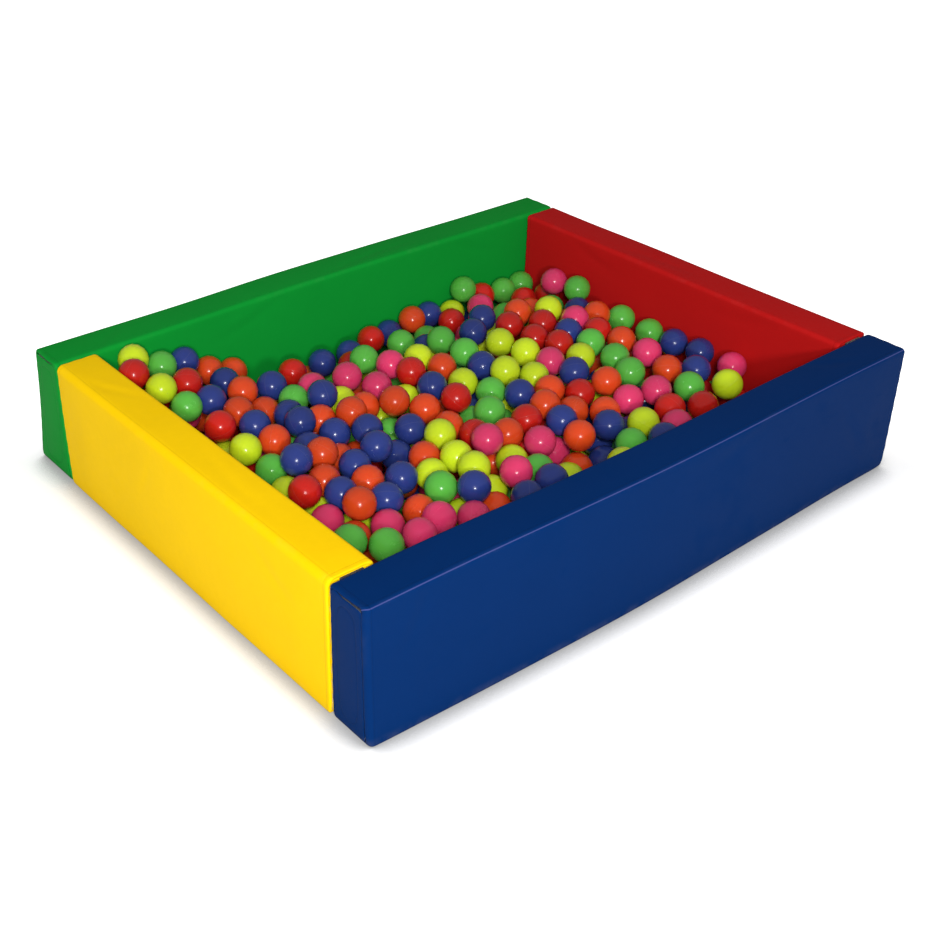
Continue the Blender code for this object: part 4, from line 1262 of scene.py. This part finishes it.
def new_group(name, takes, gives):
    """An empty node group with the named inputs, each (name, kind, default), and outputs."""
    tree = bpy.data.node_groups.new(name, "ShaderNodeTree")
    for label, kind, default in takes:
        socket = tree.interface.new_socket(label, in_out="INPUT", socket_type=f"NodeSocket{kind}")
        if default is not None:
            socket.default_value = default
    for label, kind in gives:
        tree.interface.new_socket(label, in_out="OUTPUT", socket_type=f"NodeSocket{kind}")
    return tree, tree.nodes.new("NodeGroupInput").outputs, tree.nodes.new("NodeGroupOutput").inputs


# The input that each pattern over a surface takes
PLACE = ("Place", "Vector", None)
WHITE = (1, 1, 1, 1)


def tone_group():
    """Slow and fine drift of a colour's brightness over a surface."""
    tree, source, target = new_group(
        "Colour drift",
        [("Colour", "Color", WHITE), PLACE, ("Slow", "Float", 0.1), ("Fine", "Float", 0.05)],
        [("Colour", "Color")],
    )
    slow = figure(tree, "SUBTRACT", cloud(tree, source["Place"], 4.0, 2.0), 0.5)
    fine = figure(tree, "SUBTRACT", cloud(tree, source["Place"], 60.0, 4.0), 0.5)
    total = figure(tree, "MULTIPLY_ADD", slow, source["Slow"], 1.0)
    total = figure(tree, "MULTIPLY_ADD", fine, source["Fine"], total)
    shaded = blend_colour(tree, 1.0, source["Colour"], grey(tree, total), "MULTIPLY")
    tree.links.new(shaded, target["Colour"])
    return tree


def grain_group():
    """The fine pressed grain of coated cloth: small cells over a faint woven backing."""
    tree, source, target = new_group(
        "Pressed grain", [PLACE, ("Pitch", "Float", 900.0)], [("Height", "Float")]
    )
    cells = wire(tree, "ShaderNodeTexVoronoi", {"Vector": source["Place"], "Scale": source["Pitch"]})
    wide = cloud(tree, source["Place"], 220.0, 3.0)
    height = figure(tree, "MULTIPLY_ADD", wide, 0.8, cells.outputs["Distance"])
    tree.links.new(height, target["Height"])
    return tree


def wear_group():
    """Rubbed edges: an edge field broken up by noise."""
    tree, source, target = new_group(
        "Rubbed edges", [PLACE, ("Edge", "Float", 0.0), ("Amount", "Float", 0.3)], [("Mask", "Float")]
    )
    patches = spread(tree, cloud(tree, source["Place"], 34.0, 5.0, 0.65), 0.42, 0.68)
    long_patches = spread(tree, cloud(tree, source["Place"], 6.0, 2.0), 0.35, 0.65)
    mask = figure(tree, "MULTIPLY", figure(tree, "MULTIPLY", source["Edge"], patches), long_patches)
    tree.links.new(figure(tree, "MULTIPLY", mask, source["Amount"], clamp=True), target["Mask"])
    return tree


def scuff_group():
    """Long thin rubs and small dull patches from use."""
    tree, source, target = new_group("Scuffs", [PLACE], [("Mask", "Float")])
    stretch = {"Vector": source["Place"], "Rotation": (0.4, 0.7, 0.3), "Scale": (4, 30, 9)}
    stretched = wire(tree, "ShaderNodeMapping", stretch).outputs[0]
    lines = spread(tree, cloud(tree, stretched, 3.0, 6.0, 0.7), 0.60, 0.72)
    patches = spread(tree, cloud(tree, source["Place"], 9.0, 4.0), 0.55, 0.75)
    tree.links.new(figure(tree, "MAXIMUM", lines, figure(tree, "MULTIPLY", patches, 0.7)), target["Mask"])
    return tree


def dust_group():
    """Dust and floor marks on the lowest part of a wall, broken up by noise."""
    tree, source, target = new_group("Floor dust", [PLACE, ("Reach", "Float", 0.03)], [("Mask", "Float")])
    height = wire(tree, "ShaderNodeSeparateXYZ", {0: source["Place"]}).outputs["Z"]
    share = figure(tree, "SUBTRACT", 1.0, figure(tree, "DIVIDE", height, source["Reach"]), clamp=True)
    patches = spread(tree, cloud(tree, source["Place"], 24.0, 5.0, 0.65), 0.35, 0.70)
    tree.links.new(figure(tree, "MULTIPLY", share, patches), target["Mask"])
    return tree


def stitch_group():
    """A row of stitches: rounded thread dashes, sunk at their ends, along a line."""
    takes = (("Across", 0.0), ("Along", 0.0), ("Pitch", 0.004), ("Width", 0.0007))
    inputs = [(label, "Float", value) for label, value in takes]
    tree, source, target = new_group("Stitches", inputs, [("Mask", "Float"), ("Height", "Float")])
    cycle = figure(tree, "FRACT", figure(tree, "DIVIDE", source["Along"], source["Pitch"]))
    dash = figure(tree, "ABSOLUTE", figure(tree, "SUBTRACT", cycle, 0.5))
    dash = spread(tree, dash, 0.42, 0.32)
    side = figure(tree, "DIVIDE", figure(tree, "ABSOLUTE", source["Across"]), source["Width"])
    thread = spread(tree, side, 1.0, 0.3)
    furrow = spread(tree, side, 3.5, 0.8)
    mask = figure(tree, "MULTIPLY", dash, thread)
    height = figure(tree, "SUBTRACT", mask, figure(tree, "MULTIPLY", furrow, 0.8))
    tree.links.new(mask, target["Mask"])
    tree.links.new(height, target["Height"])
    return tree


def mould_group():
    """A moulded ball's seam, gate marks and faint swirl, from the direction of a point on the ball."""
    tree, source, target = new_group(
        "Mould marks", [("On ball", "Vector", None)], [("Height", "Float"), ("Mask", "Float")]
    )
    parts = wire(tree, "ShaderNodeSeparateXYZ", {0: source["On ball"]}).outputs
    away = figure(tree, "ABSOLUTE", parts["Z"])
    seam = spread(tree, away, 0.022, 0.004)
    gate = spread(tree, away, 0.9965, 0.9985)
    swirl = cloud(tree, source["On ball"], 2.2, 3.0)
    height = figure(tree, "SUBTRACT", seam, gate)
    tree.links.new(figure(tree, "MULTIPLY_ADD", swirl, 0.35, height), target["Height"])
    tree.links.new(figure(tree, "MAXIMUM", seam, gate), target["Mask"])
    return tree


def weave_group():
    """Crossed threads of a narrow woven tape."""
    tree, source, target = new_group("Weave", [PLACE, ("Pitch", "Float", 1200.0)], [("Height", "Float")])
    turn = {"Vector": source["Place"], "Rotation": (1.57, 0.6, 1.57)}
    turned = wire(tree, "ShaderNodeMapping", turn).outputs[0]
    threads = []
    for way in (source["Place"], turned):
        inputs = {"Vector": way, "Scale": source["Pitch"], "Distortion": 0.6}
        wave = wire(tree, "ShaderNodeTexWave", inputs, bands_direction="DIAGONAL")
        threads.append(wave.outputs["Fac"])
    tree.links.new(figure(tree, "MAXIMUM", *threads), target["Height"])
    return tree


def use(tree, group, **inputs):
    """Places a node group; its inputs are named in lower case with underscores."""
    node = tree.nodes.new("ShaderNodeGroup")
    node.node_tree = group
    for key, value in inputs.items():
        socket = node.inputs[key.replace("_", " ").capitalize()]
        if isinstance(value, bpy.types.NodeSocket):
            tree.links.new(value, socket)
        else:
            socket.default_value = value
    return node.outputs


def new_look(name, colour):
    """A material with a Principled shader, and the tree, the shader and Object coordinates."""
    material = bpy.data.materials.new(name)
    material.use_nodes = True
    material.diffuse_color = (*colour, 1)
    tree = material.node_tree
    shader = tree.nodes["Principled BSDF"]
    return material, tree, shader, object_place(tree)


def bump(tree, height, distance, normal=None, strength=1.0):
    """The normal of a Bump node."""
    inputs = {"Height": height, "Distance": distance, "Strength": strength}
    if normal is not None:
        inputs["Normal"] = normal
    return wire(tree, "ShaderNodeBump", inputs).outputs["Normal"]


# How strong the painted highlight along a wall's sewn top edge is, and how much a ball's plastic glows
SEWN_EDGE_HIGHLIGHT = {"blue": 0.6, "green": 0.2, "yellow": 0.0, "red": 0.1}
BALL_GLOW = {"red": 0.15, "orange": 0.25, "pink": 0.30, "lime": 0.35, "green": 0.40, "blue": 0.12}

# A painted highlight stronger than this has the highlight colour, and a weaker one a paler tone of the
# vinyl
STRONG_HIGHLIGHT = 0.3
SEWN_HIGHLIGHT_COLOUR = (0.075, 0.085, 0.26, 1)
DUST_COLOUR = (0.30, 0.28, 0.26, 1)
POROUS_YELLOW = (0.72, 0.62, 0.40, 1)
TARNISH_COLOUR = (0.25, 0.22, 0.18, 1)

# Distance of the stitches from the welt and from a cover's end
TOP_STITCHES = 0.0105
END_STITCHES = 0.0125


def opaque(colour, share=1.0, lift=0.0):
    """A colour times share plus lift, with full alpha."""
    return tuple(min(share * part + lift, 1) for part in colour) + (1,)


def vinyl_look(name, colour, edge_highlight, groups):
    """Coated cloth of a cover: tone drift, pressed grain, rubbed edges, floor dust, a fine pale line along
    the sewn top edge that paints its highlight, as strong as the given strength, and stitches."""
    material, tree, shader, place = new_look(name, colour)
    base = use(tree, groups["drift"], colour=opaque(colour), place=place, slow=0.14, fine=0.06)["Colour"]
    rubbed = use(tree, groups["wear"], place=place, edge=field(tree, "edge"), amount=0.10)["Mask"]
    pale = opaque(colour, 0.80, 0.07)
    base = blend_colour(tree, rubbed, base, pale)
    dust = use(tree, groups["dust"], place=place, reach=0.022)["Mask"]
    base = blend_colour(tree, figure(tree, "MULTIPLY", dust, 0.10), base, DUST_COLOUR)
    run, welt = field(tree, "run"), field(tree, "welt")
    # Painted highlight: a thin pale line along the welt of the sewn top edge, strongest on the blue wall
    sewn_highlight = figure(tree, "MULTIPLY", spread(tree, figure(tree, "ABSOLUTE", welt), 0.0016, 0.0004), edge_highlight)
    base = blend_colour(tree, sewn_highlight, base, SEWN_HIGHLIGHT_COLOUR if edge_highlight > STRONG_HIGHLIGHT else pale)
    row = figure(tree, "ADD", welt, TOP_STITCHES)
    thread = {"pitch": sizes().thread_pitch, "width": sizes().thread_width}
    top_row = use(tree, groups["stitch"], across=row, along=run, **thread)
    end_across = figure(tree, "SUBTRACT", field(tree, "from_end"), END_STITCHES)
    end_row = use(tree, groups["stitch"], across=end_across, along=field(tree, "round"), **thread)
    thread = figure(tree, "MAXIMUM", top_row["Mask"], end_row["Mask"])
    base = blend_colour(tree, figure(tree, "MULTIPLY", thread, 0.45), base, opaque(colour, 0.62))
    tree.links.new(base, shader.inputs["Base Color"])
    scuffs = use(tree, groups["scuff"], place=place)["Mask"]
    dull = figure(tree, "MULTIPLY_ADD", scuffs, 0.16, 0.40)
    dull = figure(tree, "MULTIPLY_ADD", rubbed, 0.20, dull)
    dull = figure(tree, "MULTIPLY_ADD", dust, 0.25, dull)
    dull = figure(tree, "MULTIPLY_ADD", cloud(tree, place, 70.0, 4.0), 0.10, dull)
    tree.links.new(dull, shader.inputs["Roughness"])
    grain = use(tree, groups["grain"], place=place, pitch=850.0)["Height"]
    normal = bump(tree, grain, 0.00005, strength=0.5)
    sewn = figure(tree, "ADD", top_row["Height"], end_row["Height"])
    normal = bump(tree, sewn, 0.00035, normal)
    tree.links.new(normal, shader.inputs["Normal"])
    shader.inputs["IOR"].default_value = 1.45
    shader.inputs["Specular IOR Level"].default_value = 0.02
    return material


def ball_look(name, colour, glow, groups):
    """Blown plastic of a ball: its own tone, slight glow through it, fine rubs and mould marks."""
    material, tree, shader, place = new_look(name, colour)
    on_ball = field(tree, "on_ball", vector=True)
    tone = field(tree, "tone")
    shade = grey(tree, spread(tree, tone, 0.0, 1.0, 0.88, 1.10))
    base = blend_colour(tree, 1.0, opaque(colour), shade, "MULTIPLY")
    base = use(tree, groups["drift"], colour=base, place=place, slow=0.10, fine=0.08)["Colour"]
    marks = use(tree, groups["mould"], on_ball=on_ball)
    pale = opaque(colour, 0.8, 0.05)
    base = blend_colour(tree, figure(tree, "MULTIPLY", marks["Mask"], 0.35), base, pale)
    tree.links.new(base, shader.inputs["Base Color"])
    scuffs = use(tree, groups["scuff"], place=place)["Mask"]
    dull = figure(tree, "MULTIPLY_ADD", scuffs, 0.12, 0.17)
    dull = figure(tree, "MULTIPLY_ADD", cloud(tree, place, 120.0, 4.0), 0.10, dull)
    tree.links.new(dull, shader.inputs["Roughness"])
    tree.links.new(bump(tree, marks["Height"], 0.00018, strength=0.6), shader.inputs["Normal"])
    shader.inputs["IOR"].default_value = 1.50
    shader.inputs["Subsurface Weight"].default_value = glow
    shader.inputs["Subsurface Radius"].default_value = (1.0, 1.0, 1.0)
    shader.inputs["Subsurface Scale"].default_value = 0.012
    return material


def cloth_look(name, colour, pitch, groups, fuzz):
    """Hook tape, loop tape and zip webbing: a woven ground under short fuzz."""
    material, tree, shader, place = new_look(name, colour)
    weave = use(tree, groups["weave"], place=place, pitch=pitch)["Height"]
    hairs = cloud(tree, place, 1400.0, 5.0, 0.7)
    base = use(tree, groups["drift"], colour=opaque(colour), place=place, slow=0.35, fine=0.5)["Colour"]
    base = blend_colour(tree, spread(tree, hairs, 0.5, 0.8), base, opaque(colour, 1.9, 0.003))
    tree.links.new(base, shader.inputs["Base Color"])
    tree.links.new(figure(tree, "MULTIPLY_ADD", hairs, 0.15, 0.80), shader.inputs["Roughness"])
    height = figure(tree, "MULTIPLY_ADD", hairs, fuzz, weave)
    tree.links.new(bump(tree, height, 0.0004), shader.inputs["Normal"])
    shader.inputs["Sheen Weight"].default_value = 0.25
    shader.inputs["Specular IOR Level"].default_value = 0.2
    return material


def foam_look(name, colour, groups):
    """Cut foam: open cells of two sizes, a slight yellowing and painted shade in the pores."""
    material, tree, shader, place = new_look(name, colour)
    cells = wire(tree, "ShaderNodeTexVoronoi", {"Vector": place, "Scale": 700.0}).outputs["Distance"]
    large = wire(tree, "ShaderNodeTexVoronoi", {"Vector": place, "Scale": 190.0}).outputs["Distance"]
    base = use(tree, groups["drift"], colour=opaque(colour), place=place, slow=0.12, fine=0.15)["Colour"]
    # Painted shade: the colour is darker in the pits of the cells
    pore_shade = spread(tree, cells, 0.25, 0.05, 0, 0.5)
    base = blend_colour(tree, pore_shade, base, opaque(colour, 0.6))
    aged = spread(tree, cloud(tree, place, 5.0), 0.45, 0.75, 0, 0.4)
    base = blend_colour(tree, aged, base, POROUS_YELLOW)
    tree.links.new(base, shader.inputs["Base Color"])
    tree.links.new(figure(tree, "MULTIPLY_ADD", cells, 0.1, 0.86), shader.inputs["Roughness"])
    height = figure(tree, "MULTIPLY_ADD", large, 0.8, cells)
    tree.links.new(bump(tree, height, 0.0006), shader.inputs["Normal"])
    shader.inputs["Specular IOR Level"].default_value = 0.2
    return material


def metal_look(name, colour, groups):
    """Plated die-cast metal of a zip slider, rubbed and slightly tarnished."""
    material, tree, shader, place = new_look(name, colour)
    tarnish = spread(tree, cloud(tree, place, 260.0, 5.0), 0.45, 0.7)
    base = use(tree, groups["drift"], colour=opaque(colour), place=place, slow=0.1, fine=0.2)["Colour"]
    base = blend_colour(tree, figure(tree, "MULTIPLY", tarnish, 0.5), base, TARNISH_COLOUR)
    tree.links.new(base, shader.inputs["Base Color"])
    scuffs = use(tree, groups["scuff"], place=place)["Mask"]
    dull = figure(tree, "MULTIPLY_ADD", tarnish, 0.2, 0.26)
    tree.links.new(figure(tree, "MULTIPLY_ADD", scuffs, 0.15, dull), shader.inputs["Roughness"])
    tree.links.new(bump(tree, cloud(tree, place, 900.0, 4.0), 0.00006), shader.inputs["Normal"])
    shader.inputs["Metallic"].default_value = 1.0
    return material


def make_looks(colours):
    """Every material of the pit by its setting's name."""
    groups = {
        "drift": tone_group(),
        "grain": grain_group(),
        "wear": wear_group(),
        "scuff": scuff_group(),
        "dust": dust_group(),
        "stitch": stitch_group(),
        "mould": mould_group(),
        "weave": weave_group(),
    }
    looks = {}
    for wall in WALLS:
        colour = tuple(getattr(colours, f"{wall}_vinyl"))
        looks[f"{wall}_vinyl"] = vinyl_look(f"{wall} vinyl", colour, SEWN_EDGE_HIGHLIGHT[wall], groups)
    for ball, glow in BALL_GLOW.items():
        colour = tuple(getattr(colours, f"{ball}_ball"))
        looks[f"{ball}_ball"] = ball_look(f"{ball} ball", colour, glow, groups)
    looks["tape"] = cloth_look("Hook and loop tape", tuple(colours.tape), 1100.0, groups, 1.6)
    looks["flap_tape"] = cloth_look("Flap tape", tuple(colours.flap_tape), 1100.0, groups, 0.6)
    looks["zip"] = cloth_look("Zip webbing", tuple(colours.zip), 1900.0, groups, 0.3)
    looks["foam"] = foam_look("Cut foam", tuple(colours.foam), groups)
    looks["metal"] = metal_look("Zip metal", tuple(colours.metal), groups)
    return looks


# Stage: floor, lamps, world and camera


# How pale the floor is, and how much of its added light a reflection shows
FLOOR_TONE = 0.75
FLOOR_GLOSSY = 0.45


def make_floor(stage):
    """A plain pale floor that shows white to the camera and keeps the object's shadow, with a painted
    contact shadow near the pit.
    """
    corners = np.array([(-1, -1, 0), (1, -1, 0), (1, 1, 0), (-1, 1, 0)])
    mesh = lay_mesh("floor", corners * stage.floor_size / 2, [np.array([[0, 1, 2, 3]])])
    material = bpy.data.materials.new("Plain floor")
    material.use_nodes = True
    tree = material.node_tree
    shader = tree.nodes["Principled BSDF"]
    shader.inputs["Roughness"].default_value = 0.9
    shader.inputs["Specular IOR Level"].default_value = 0.1
    path = tree.nodes.new("ShaderNodeLightPath").outputs
    glossy = figure(tree, "MULTIPLY", path["Is Glossy Ray"], FLOOR_GLOSSY)
    seen = figure(tree, "MAXIMUM", path["Is Camera Ray"], glossy)
    seen = figure(tree, "MAXIMUM", seen, path["Is Transmission Ray"])
    place = wire(tree, "ShaderNodeSeparateXYZ", {0: object_place(tree)}).outputs
    # Painted shadow: the added light is less near the pit, and ambient occlusion darkens the floor's
    # colour and added light next to the object
    beside = figure(tree, "SUBTRACT", figure(tree, "ABSOLUTE", place["X"]), PIT_LENGTH / 2)
    before = figure(tree, "SUBTRACT", figure(tree, "ABSOLUTE", place["Y"]), PIT_WIDTH / 2)
    lift = spread(tree, figure(tree, "MAXIMUM", beside, before), 0.03, 0.30, stage.floor_lift, 1.0)
    near = wire(tree, "ShaderNodeAmbientOcclusion", {"Distance": 0.085}, samples=8).outputs["AO"]
    shade = spread(tree, near, 0.50, 0.90, 0.40, 1.0)
    lift = figure(tree, "MULTIPLY", lift, shade)
    pale = grey(tree, figure(tree, "MULTIPLY", shade, FLOOR_TONE))
    tree.links.new(pale, shader.inputs["Base Color"])
    strength = figure(tree, "MULTIPLY", seen, lift)
    glow = wire(tree, "ShaderNodeEmission", {"Color": WHITE, "Strength": strength})
    both = wire(tree, "ShaderNodeAddShader", {0: shader.outputs[0], 1: glow.outputs[0]})
    tree.links.new(both.outputs[0], tree.nodes["Material Output"].inputs["Surface"])
    mesh.materials.append(material)
    floor = bpy.data.objects.new("floor", mesh)
    bpy.context.scene.collection.objects.link(floor)


def make_world(stage):
    """Even pale light from all round, and plain white where the camera sees the world."""
    world = bpy.data.worlds.new("Studio")
    world.use_nodes = True
    tree = world.node_tree
    soft = tree.nodes["Background"]
    soft.inputs["Color"].default_value = WHITE
    soft.inputs["Strength"].default_value = stage.world_light
    white = wire(tree, "ShaderNodeBackground", {"Color": WHITE, "Strength": 1.0})
    path = tree.nodes.new("ShaderNodeLightPath").outputs
    seen = figure(tree, "MAXIMUM", path["Is Camera Ray"], path["Is Transmission Ray"])
    both = wire(tree, "ShaderNodeMixShader", {0: seen, 1: soft.outputs[0], 2: white.outputs[0]})
    tree.links.new(both.outputs[0], tree.nodes["World Output"].inputs["Surface"])
    bpy.context.scene.world = world


def stood_at(place, right, up, forward):
    """The matrix of a camera or lamp at a place, from its right, up and forward directions."""
    rows = np.column_stack([right, up, -forward, place])
    return Matrix([*rows.tolist(), (0, 0, 0, 1)])


def make_camera():
    """The camera that took the photograph."""
    data = bpy.data.cameras.new("camera")
    data.sensor_width = 36.0
    data.lens = FOCAL_PIXELS * data.sensor_width / PHOTO_SIZE
    data.shift_x = (PHOTO_SIZE / 2 - MIDDLE_PIXEL[0]) / PHOTO_SIZE
    data.shift_y = (MIDDLE_PIXEL[1] - PHOTO_SIZE / 2) / PHOTO_SIZE
    data.clip_start, data.clip_end = 0.05, 60.0
    camera = bpy.data.objects.new("camera", data)
    camera.matrix_world = stood_at(CAMERA_PLACE, *camera_axes())
    bpy.context.scene.collection.objects.link(camera)
    bpy.context.scene.camera = camera


def make_lamp(name, place, size, power):
    """A soft round lamp at a place, turned to the pit."""
    data = bpy.data.lights.new(name, "AREA")
    data.shape = "DISK"
    data.size = size
    data.energy = power
    lamp = bpy.data.objects.new(name, data)
    forward = np.array((0.0, 0.0, WALL_HEIGHT / 2)) - np.array(place)
    forward /= np.linalg.norm(forward)
    right = np.cross(forward, (0, 0, 1))
    right /= np.linalg.norm(right)
    lamp.matrix_world = stood_at(place, right, np.cross(right, forward), forward)
    bpy.context.scene.collection.objects.link(lamp)
    return lamp


# Settings


def colour_setting(name, words, default):
    """A colour that the user can change."""
    return FloatVectorProperty(
        name=name, description=words, default=default, subtype="COLOR", size=3, min=0, max=1
    )


class PitColours(bpy.types.PropertyGroup):
    """Colours of the covers, the balls and the small parts."""

    blue_vinyl: colour_setting("Blue vinyl", "Cover of front wall and mat", (0.0010, 0.0195, 0.098))
    green_vinyl: colour_setting("Green vinyl", "Cover of the back wall", (0.004, 0.24, 0.025))
    yellow_vinyl: colour_setting("Yellow vinyl", "Cover of the left wall", (0.86, 0.54, 0.002))
    red_vinyl: colour_setting("Red vinyl", "Cover of the right wall", (0.42, 0.008, 0.008))
    red_ball: colour_setting("Red ball", "Plastic of the red balls", (0.42, 0.010, 0.006))
    orange_ball: colour_setting("Orange ball", "Plastic of the orange balls", (0.52, 0.047, 0.008))
    pink_ball: colour_setting("Pink ball", "Plastic of the pink balls", (0.54, 0.032, 0.11))
    lime_ball: colour_setting("Lime ball", "Plastic of the lime balls", (0.44, 0.56, 0.012))
    green_ball: colour_setting("Green ball", "Plastic of the green balls", (0.080, 0.36, 0.045))
    blue_ball: colour_setting("Blue ball", "Plastic of the blue balls", (0.016, 0.030, 0.155))
    # The corner tape's dark brown is partly painted shade: it also stands for the shade and yellow bounce
    # light in the corner gaps
    tape: colour_setting("Corner tape", "Hook and loop tape of the corners", (0.026, 0.013, 0.005))
    # The flap tape is near-black so that the slit over a flap reads as shade: partly painted shade
    flap_tape: colour_setting("Flap tape", "Hook and loop tape of the flaps", (0.003, 0.003, 0.007))
    zip: colour_setting("Zip", "Webbing and coil of the zips", (0.030, 0.030, 0.035))
    foam: colour_setting("Foam", "Cut foam of the cores", (0.78, 0.76, 0.68))
    metal: colour_setting("Metal", "Slider and pull of the zips", (0.62, 0.60, 0.56))


def size_setting(name, words, default, unit="LENGTH"):
    """A number in the panel, in metres unless its unit is NONE."""
    return FloatProperty(name=name, description=words, default=default, min=0.0, precision=4, unit=unit)


class PitSizes(bpy.types.PropertyGroup):
    """Soft forms of the covers and small sizes of thread and balls."""

    outer_swell: size_setting("Outer swell", "How far a wall's outer face swells", 0.0035)
    end_swell: size_setting("End swell", "How far an end panel or flap swells", 0.0014)
    top_crown: size_setting("Top crown", "How far a wall's top rises along its middle", 0.0008)
    wave_height: size_setting("Wave height", "Height of the long low waves in a cover", 0.0010)
    crease_depth: size_setting("Crease depth", "Depth of every crease, as a share of its own", 1.0, "NONE")
    slit_height: size_setting("Slit height", "Gap over an end flap", 0.0038)
    thread_pitch: size_setting("Thread pitch", "Length of one stitch", 0.0045)
    thread_width: size_setting("Thread width", "Half the width of the thread", 0.0006)
    seam_height: size_setting("Seam height", "Height of the mould's seam on a loose ball", 0.00022)


class PitStage(bpy.types.PropertyGroup):
    """The floor, the lamps and the world."""

    floor_size: size_setting("Floor size", "Side of the floor", 14.0)
    floor_lift: size_setting("Floor lift", "Light added where the camera sees the floor", 0.35, "NONE")
    world_light: size_setting("World light", "Strength of the light from all round", 0.30, "NONE")
    high_power: size_setting("High lamp", "Power of the high lamp", 235.0, "POWER")
    high_height: size_setting("High lamp height", "Height of the high lamp over the floor", 3.30)
    high_size: size_setting("High lamp size", "Width of the high lamp", 1.5)
    low_power: size_setting("Low lamp", "Power of the low lamp", 95.0, "POWER")
    low_height: size_setting("Low lamp height", "Height of the low lamp over the floor", 1.95)
    low_size: size_setting("Low lamp size", "Width of the low lamp", 0.42)
    lamp_distance: size_setting("Lamp distance", "From the pit's middle to under the lamps", 4.4)
    lamp_heading: FloatProperty(
        name="Lamp heading", description="Direction of the lamps' light, from the pit's depth",
        default=math.radians(37.0), subtype="ANGLE",
    )


class PitSettings(bpy.types.PropertyGroup):
    """Everything that a user can change."""

    colours: PointerProperty(type=PitColours)
    sizes: PointerProperty(type=PitSizes)
    stage: PointerProperty(type=PitStage)


LOOKS = {}


def looks_of(context):
    """The materials, made once."""
    if not LOOKS:
        LOOKS.update(make_looks(context.scene.ball_pit.colours))
    return LOOKS


class PIT_OT_stage(bpy.types.Operator):
    """Makes the floor, the lamps, the world and the camera"""

    bl_idname = "ball_pit.stage"
    bl_label = "Stage"

    def execute(self, context):
        """Builds the stage."""
        stage = context.scene.ball_pit.stage
        make_floor(stage)
        make_world(stage)
        make_camera()
        turn = stage.lamp_heading
        under = (-stage.lamp_distance * math.sin(turn), -stage.lamp_distance * math.cos(turn))
        high = make_lamp("high_lamp", (*under, stage.high_height), stage.high_size, stage.high_power)
        high.visible_glossy = False
        make_lamp("low_lamp", (*under, stage.low_height), stage.low_size, stage.low_power)
        context.scene.view_settings.view_transform = "Standard"
        return {"FINISHED"}


class PIT_OT_sleeves(bpy.types.Operator):
    """Makes the vinyl covers of the four walls"""

    bl_idname = "ball_pit.sleeves"
    bl_label = "Wall covers"

    def execute(self, context):
        """Builds the covers."""
        make_sleeves(looks_of(context))
        return {"FINISHED"}


class PIT_OT_ends(bpy.types.Operator):
    """Makes the sewn end panels of the walls"""

    bl_idname = "ball_pit.ends"
    bl_label = "Sewn ends"

    def execute(self, context):
        """Builds the end panels."""
        make_ends(looks_of(context))
        return {"FINISHED"}


class PIT_OT_flaps(bpy.types.Operator):
    """Makes the end flaps of the long walls and the tongues under them"""

    bl_idname = "ball_pit.flaps"
    bl_label = "End flaps"

    def execute(self, context):
        """Builds the flaps."""
        make_flaps(looks_of(context))
        make_flap_tapes(looks_of(context))
        return {"FINISHED"}


class PIT_OT_cores(bpy.types.Operator):
    """Makes the foam cores of the walls"""

    bl_idname = "ball_pit.cores"
    bl_label = "Foam cores"

    def execute(self, context):
        """Builds the cores."""
        make_cores(looks_of(context))
        return {"FINISHED"}


class PIT_OT_tapes(bpy.types.Operator):
    """Makes the hook tapes and loop tapes of the four corners"""

    bl_idname = "ball_pit.tapes"
    bl_label = "Corner tapes"

    def execute(self, context):
        """Builds the tapes."""
        make_corner_tapes(looks_of(context))
        return {"FINISHED"}


class PIT_OT_zips(bpy.types.Operator):
    """Makes the zips under the cross walls"""

    bl_idname = "ball_pit.zips"
    bl_label = "Zips"

    def execute(self, context):
        """Builds the zips."""
        make_zips(looks_of(context))
        return {"FINISHED"}


class PIT_OT_mat(bpy.types.Operator):
    """Makes the floor mat"""

    bl_idname = "ball_pit.mat"
    bl_label = "Floor mat"

    def execute(self, context):
        """Builds the mat."""
        make_mat(looks_of(context))
        return {"FINISHED"}


class PIT_OT_heap(bpy.types.Operator):
    """Makes the heap of balls"""

    bl_idname = "ball_pit.heap"
    bl_label = "Ball heap"

    def execute(self, context):
        """Builds the heap."""
        make_heap(looks_of(context))
        return {"FINISHED"}


class PIT_OT_loose_balls(bpy.types.Operator):
    """Makes the loose balls on the heap"""

    bl_idname = "ball_pit.loose_balls"
    bl_label = "Loose balls"

    def execute(self, context):
        """Builds the loose balls."""
        make_loose_balls(looks_of(context))
        return {"FINISHED"}


OPERATORS = (
    PIT_OT_stage, PIT_OT_sleeves, PIT_OT_ends, PIT_OT_flaps, PIT_OT_cores, PIT_OT_tapes,
    PIT_OT_zips, PIT_OT_mat, PIT_OT_heap, PIT_OT_loose_balls,
)


class PIT_PT_panel(bpy.types.Panel):
    """Lists the pieces of the ball pit"""

    bl_idname = "PIT_PT_panel"
    bl_label = "Foam ball pit"
    bl_space_type = "VIEW_3D"
    bl_region_type = "UI"
    bl_category = "Ball pit"

    def draw(self, context):
        """Draws a button for each piece and the settings."""
        for operator in OPERATORS:
            self.layout.operator(operator.bl_idname)
        settings = context.scene.ball_pit
        for group in (settings.colours, settings.sizes, settings.stage):
            box = self.layout.box()
            for key in group.__annotations__:
                box.prop(group, key)


CLASSES = (PitColours, PitSizes, PitStage, PitSettings, *OPERATORS, PIT_PT_panel)


def register():
    """Registers the classes and the settings."""
    for kind in CLASSES:
        bpy.utils.register_class(kind)
    bpy.types.Scene.ball_pit = PointerProperty(type=PitSettings)


def unregister():
    """Removes the classes and the settings."""
    del bpy.types.Scene.ball_pit
    for kind in reversed(CLASSES):
        bpy.utils.unregister_class(kind)


def main():
    register()
    for operator in OPERATORS:
        group, name = operator.bl_idname.split(".")
        getattr(getattr(bpy.ops, group), name)()


if __name__ == "__main__":
    main()
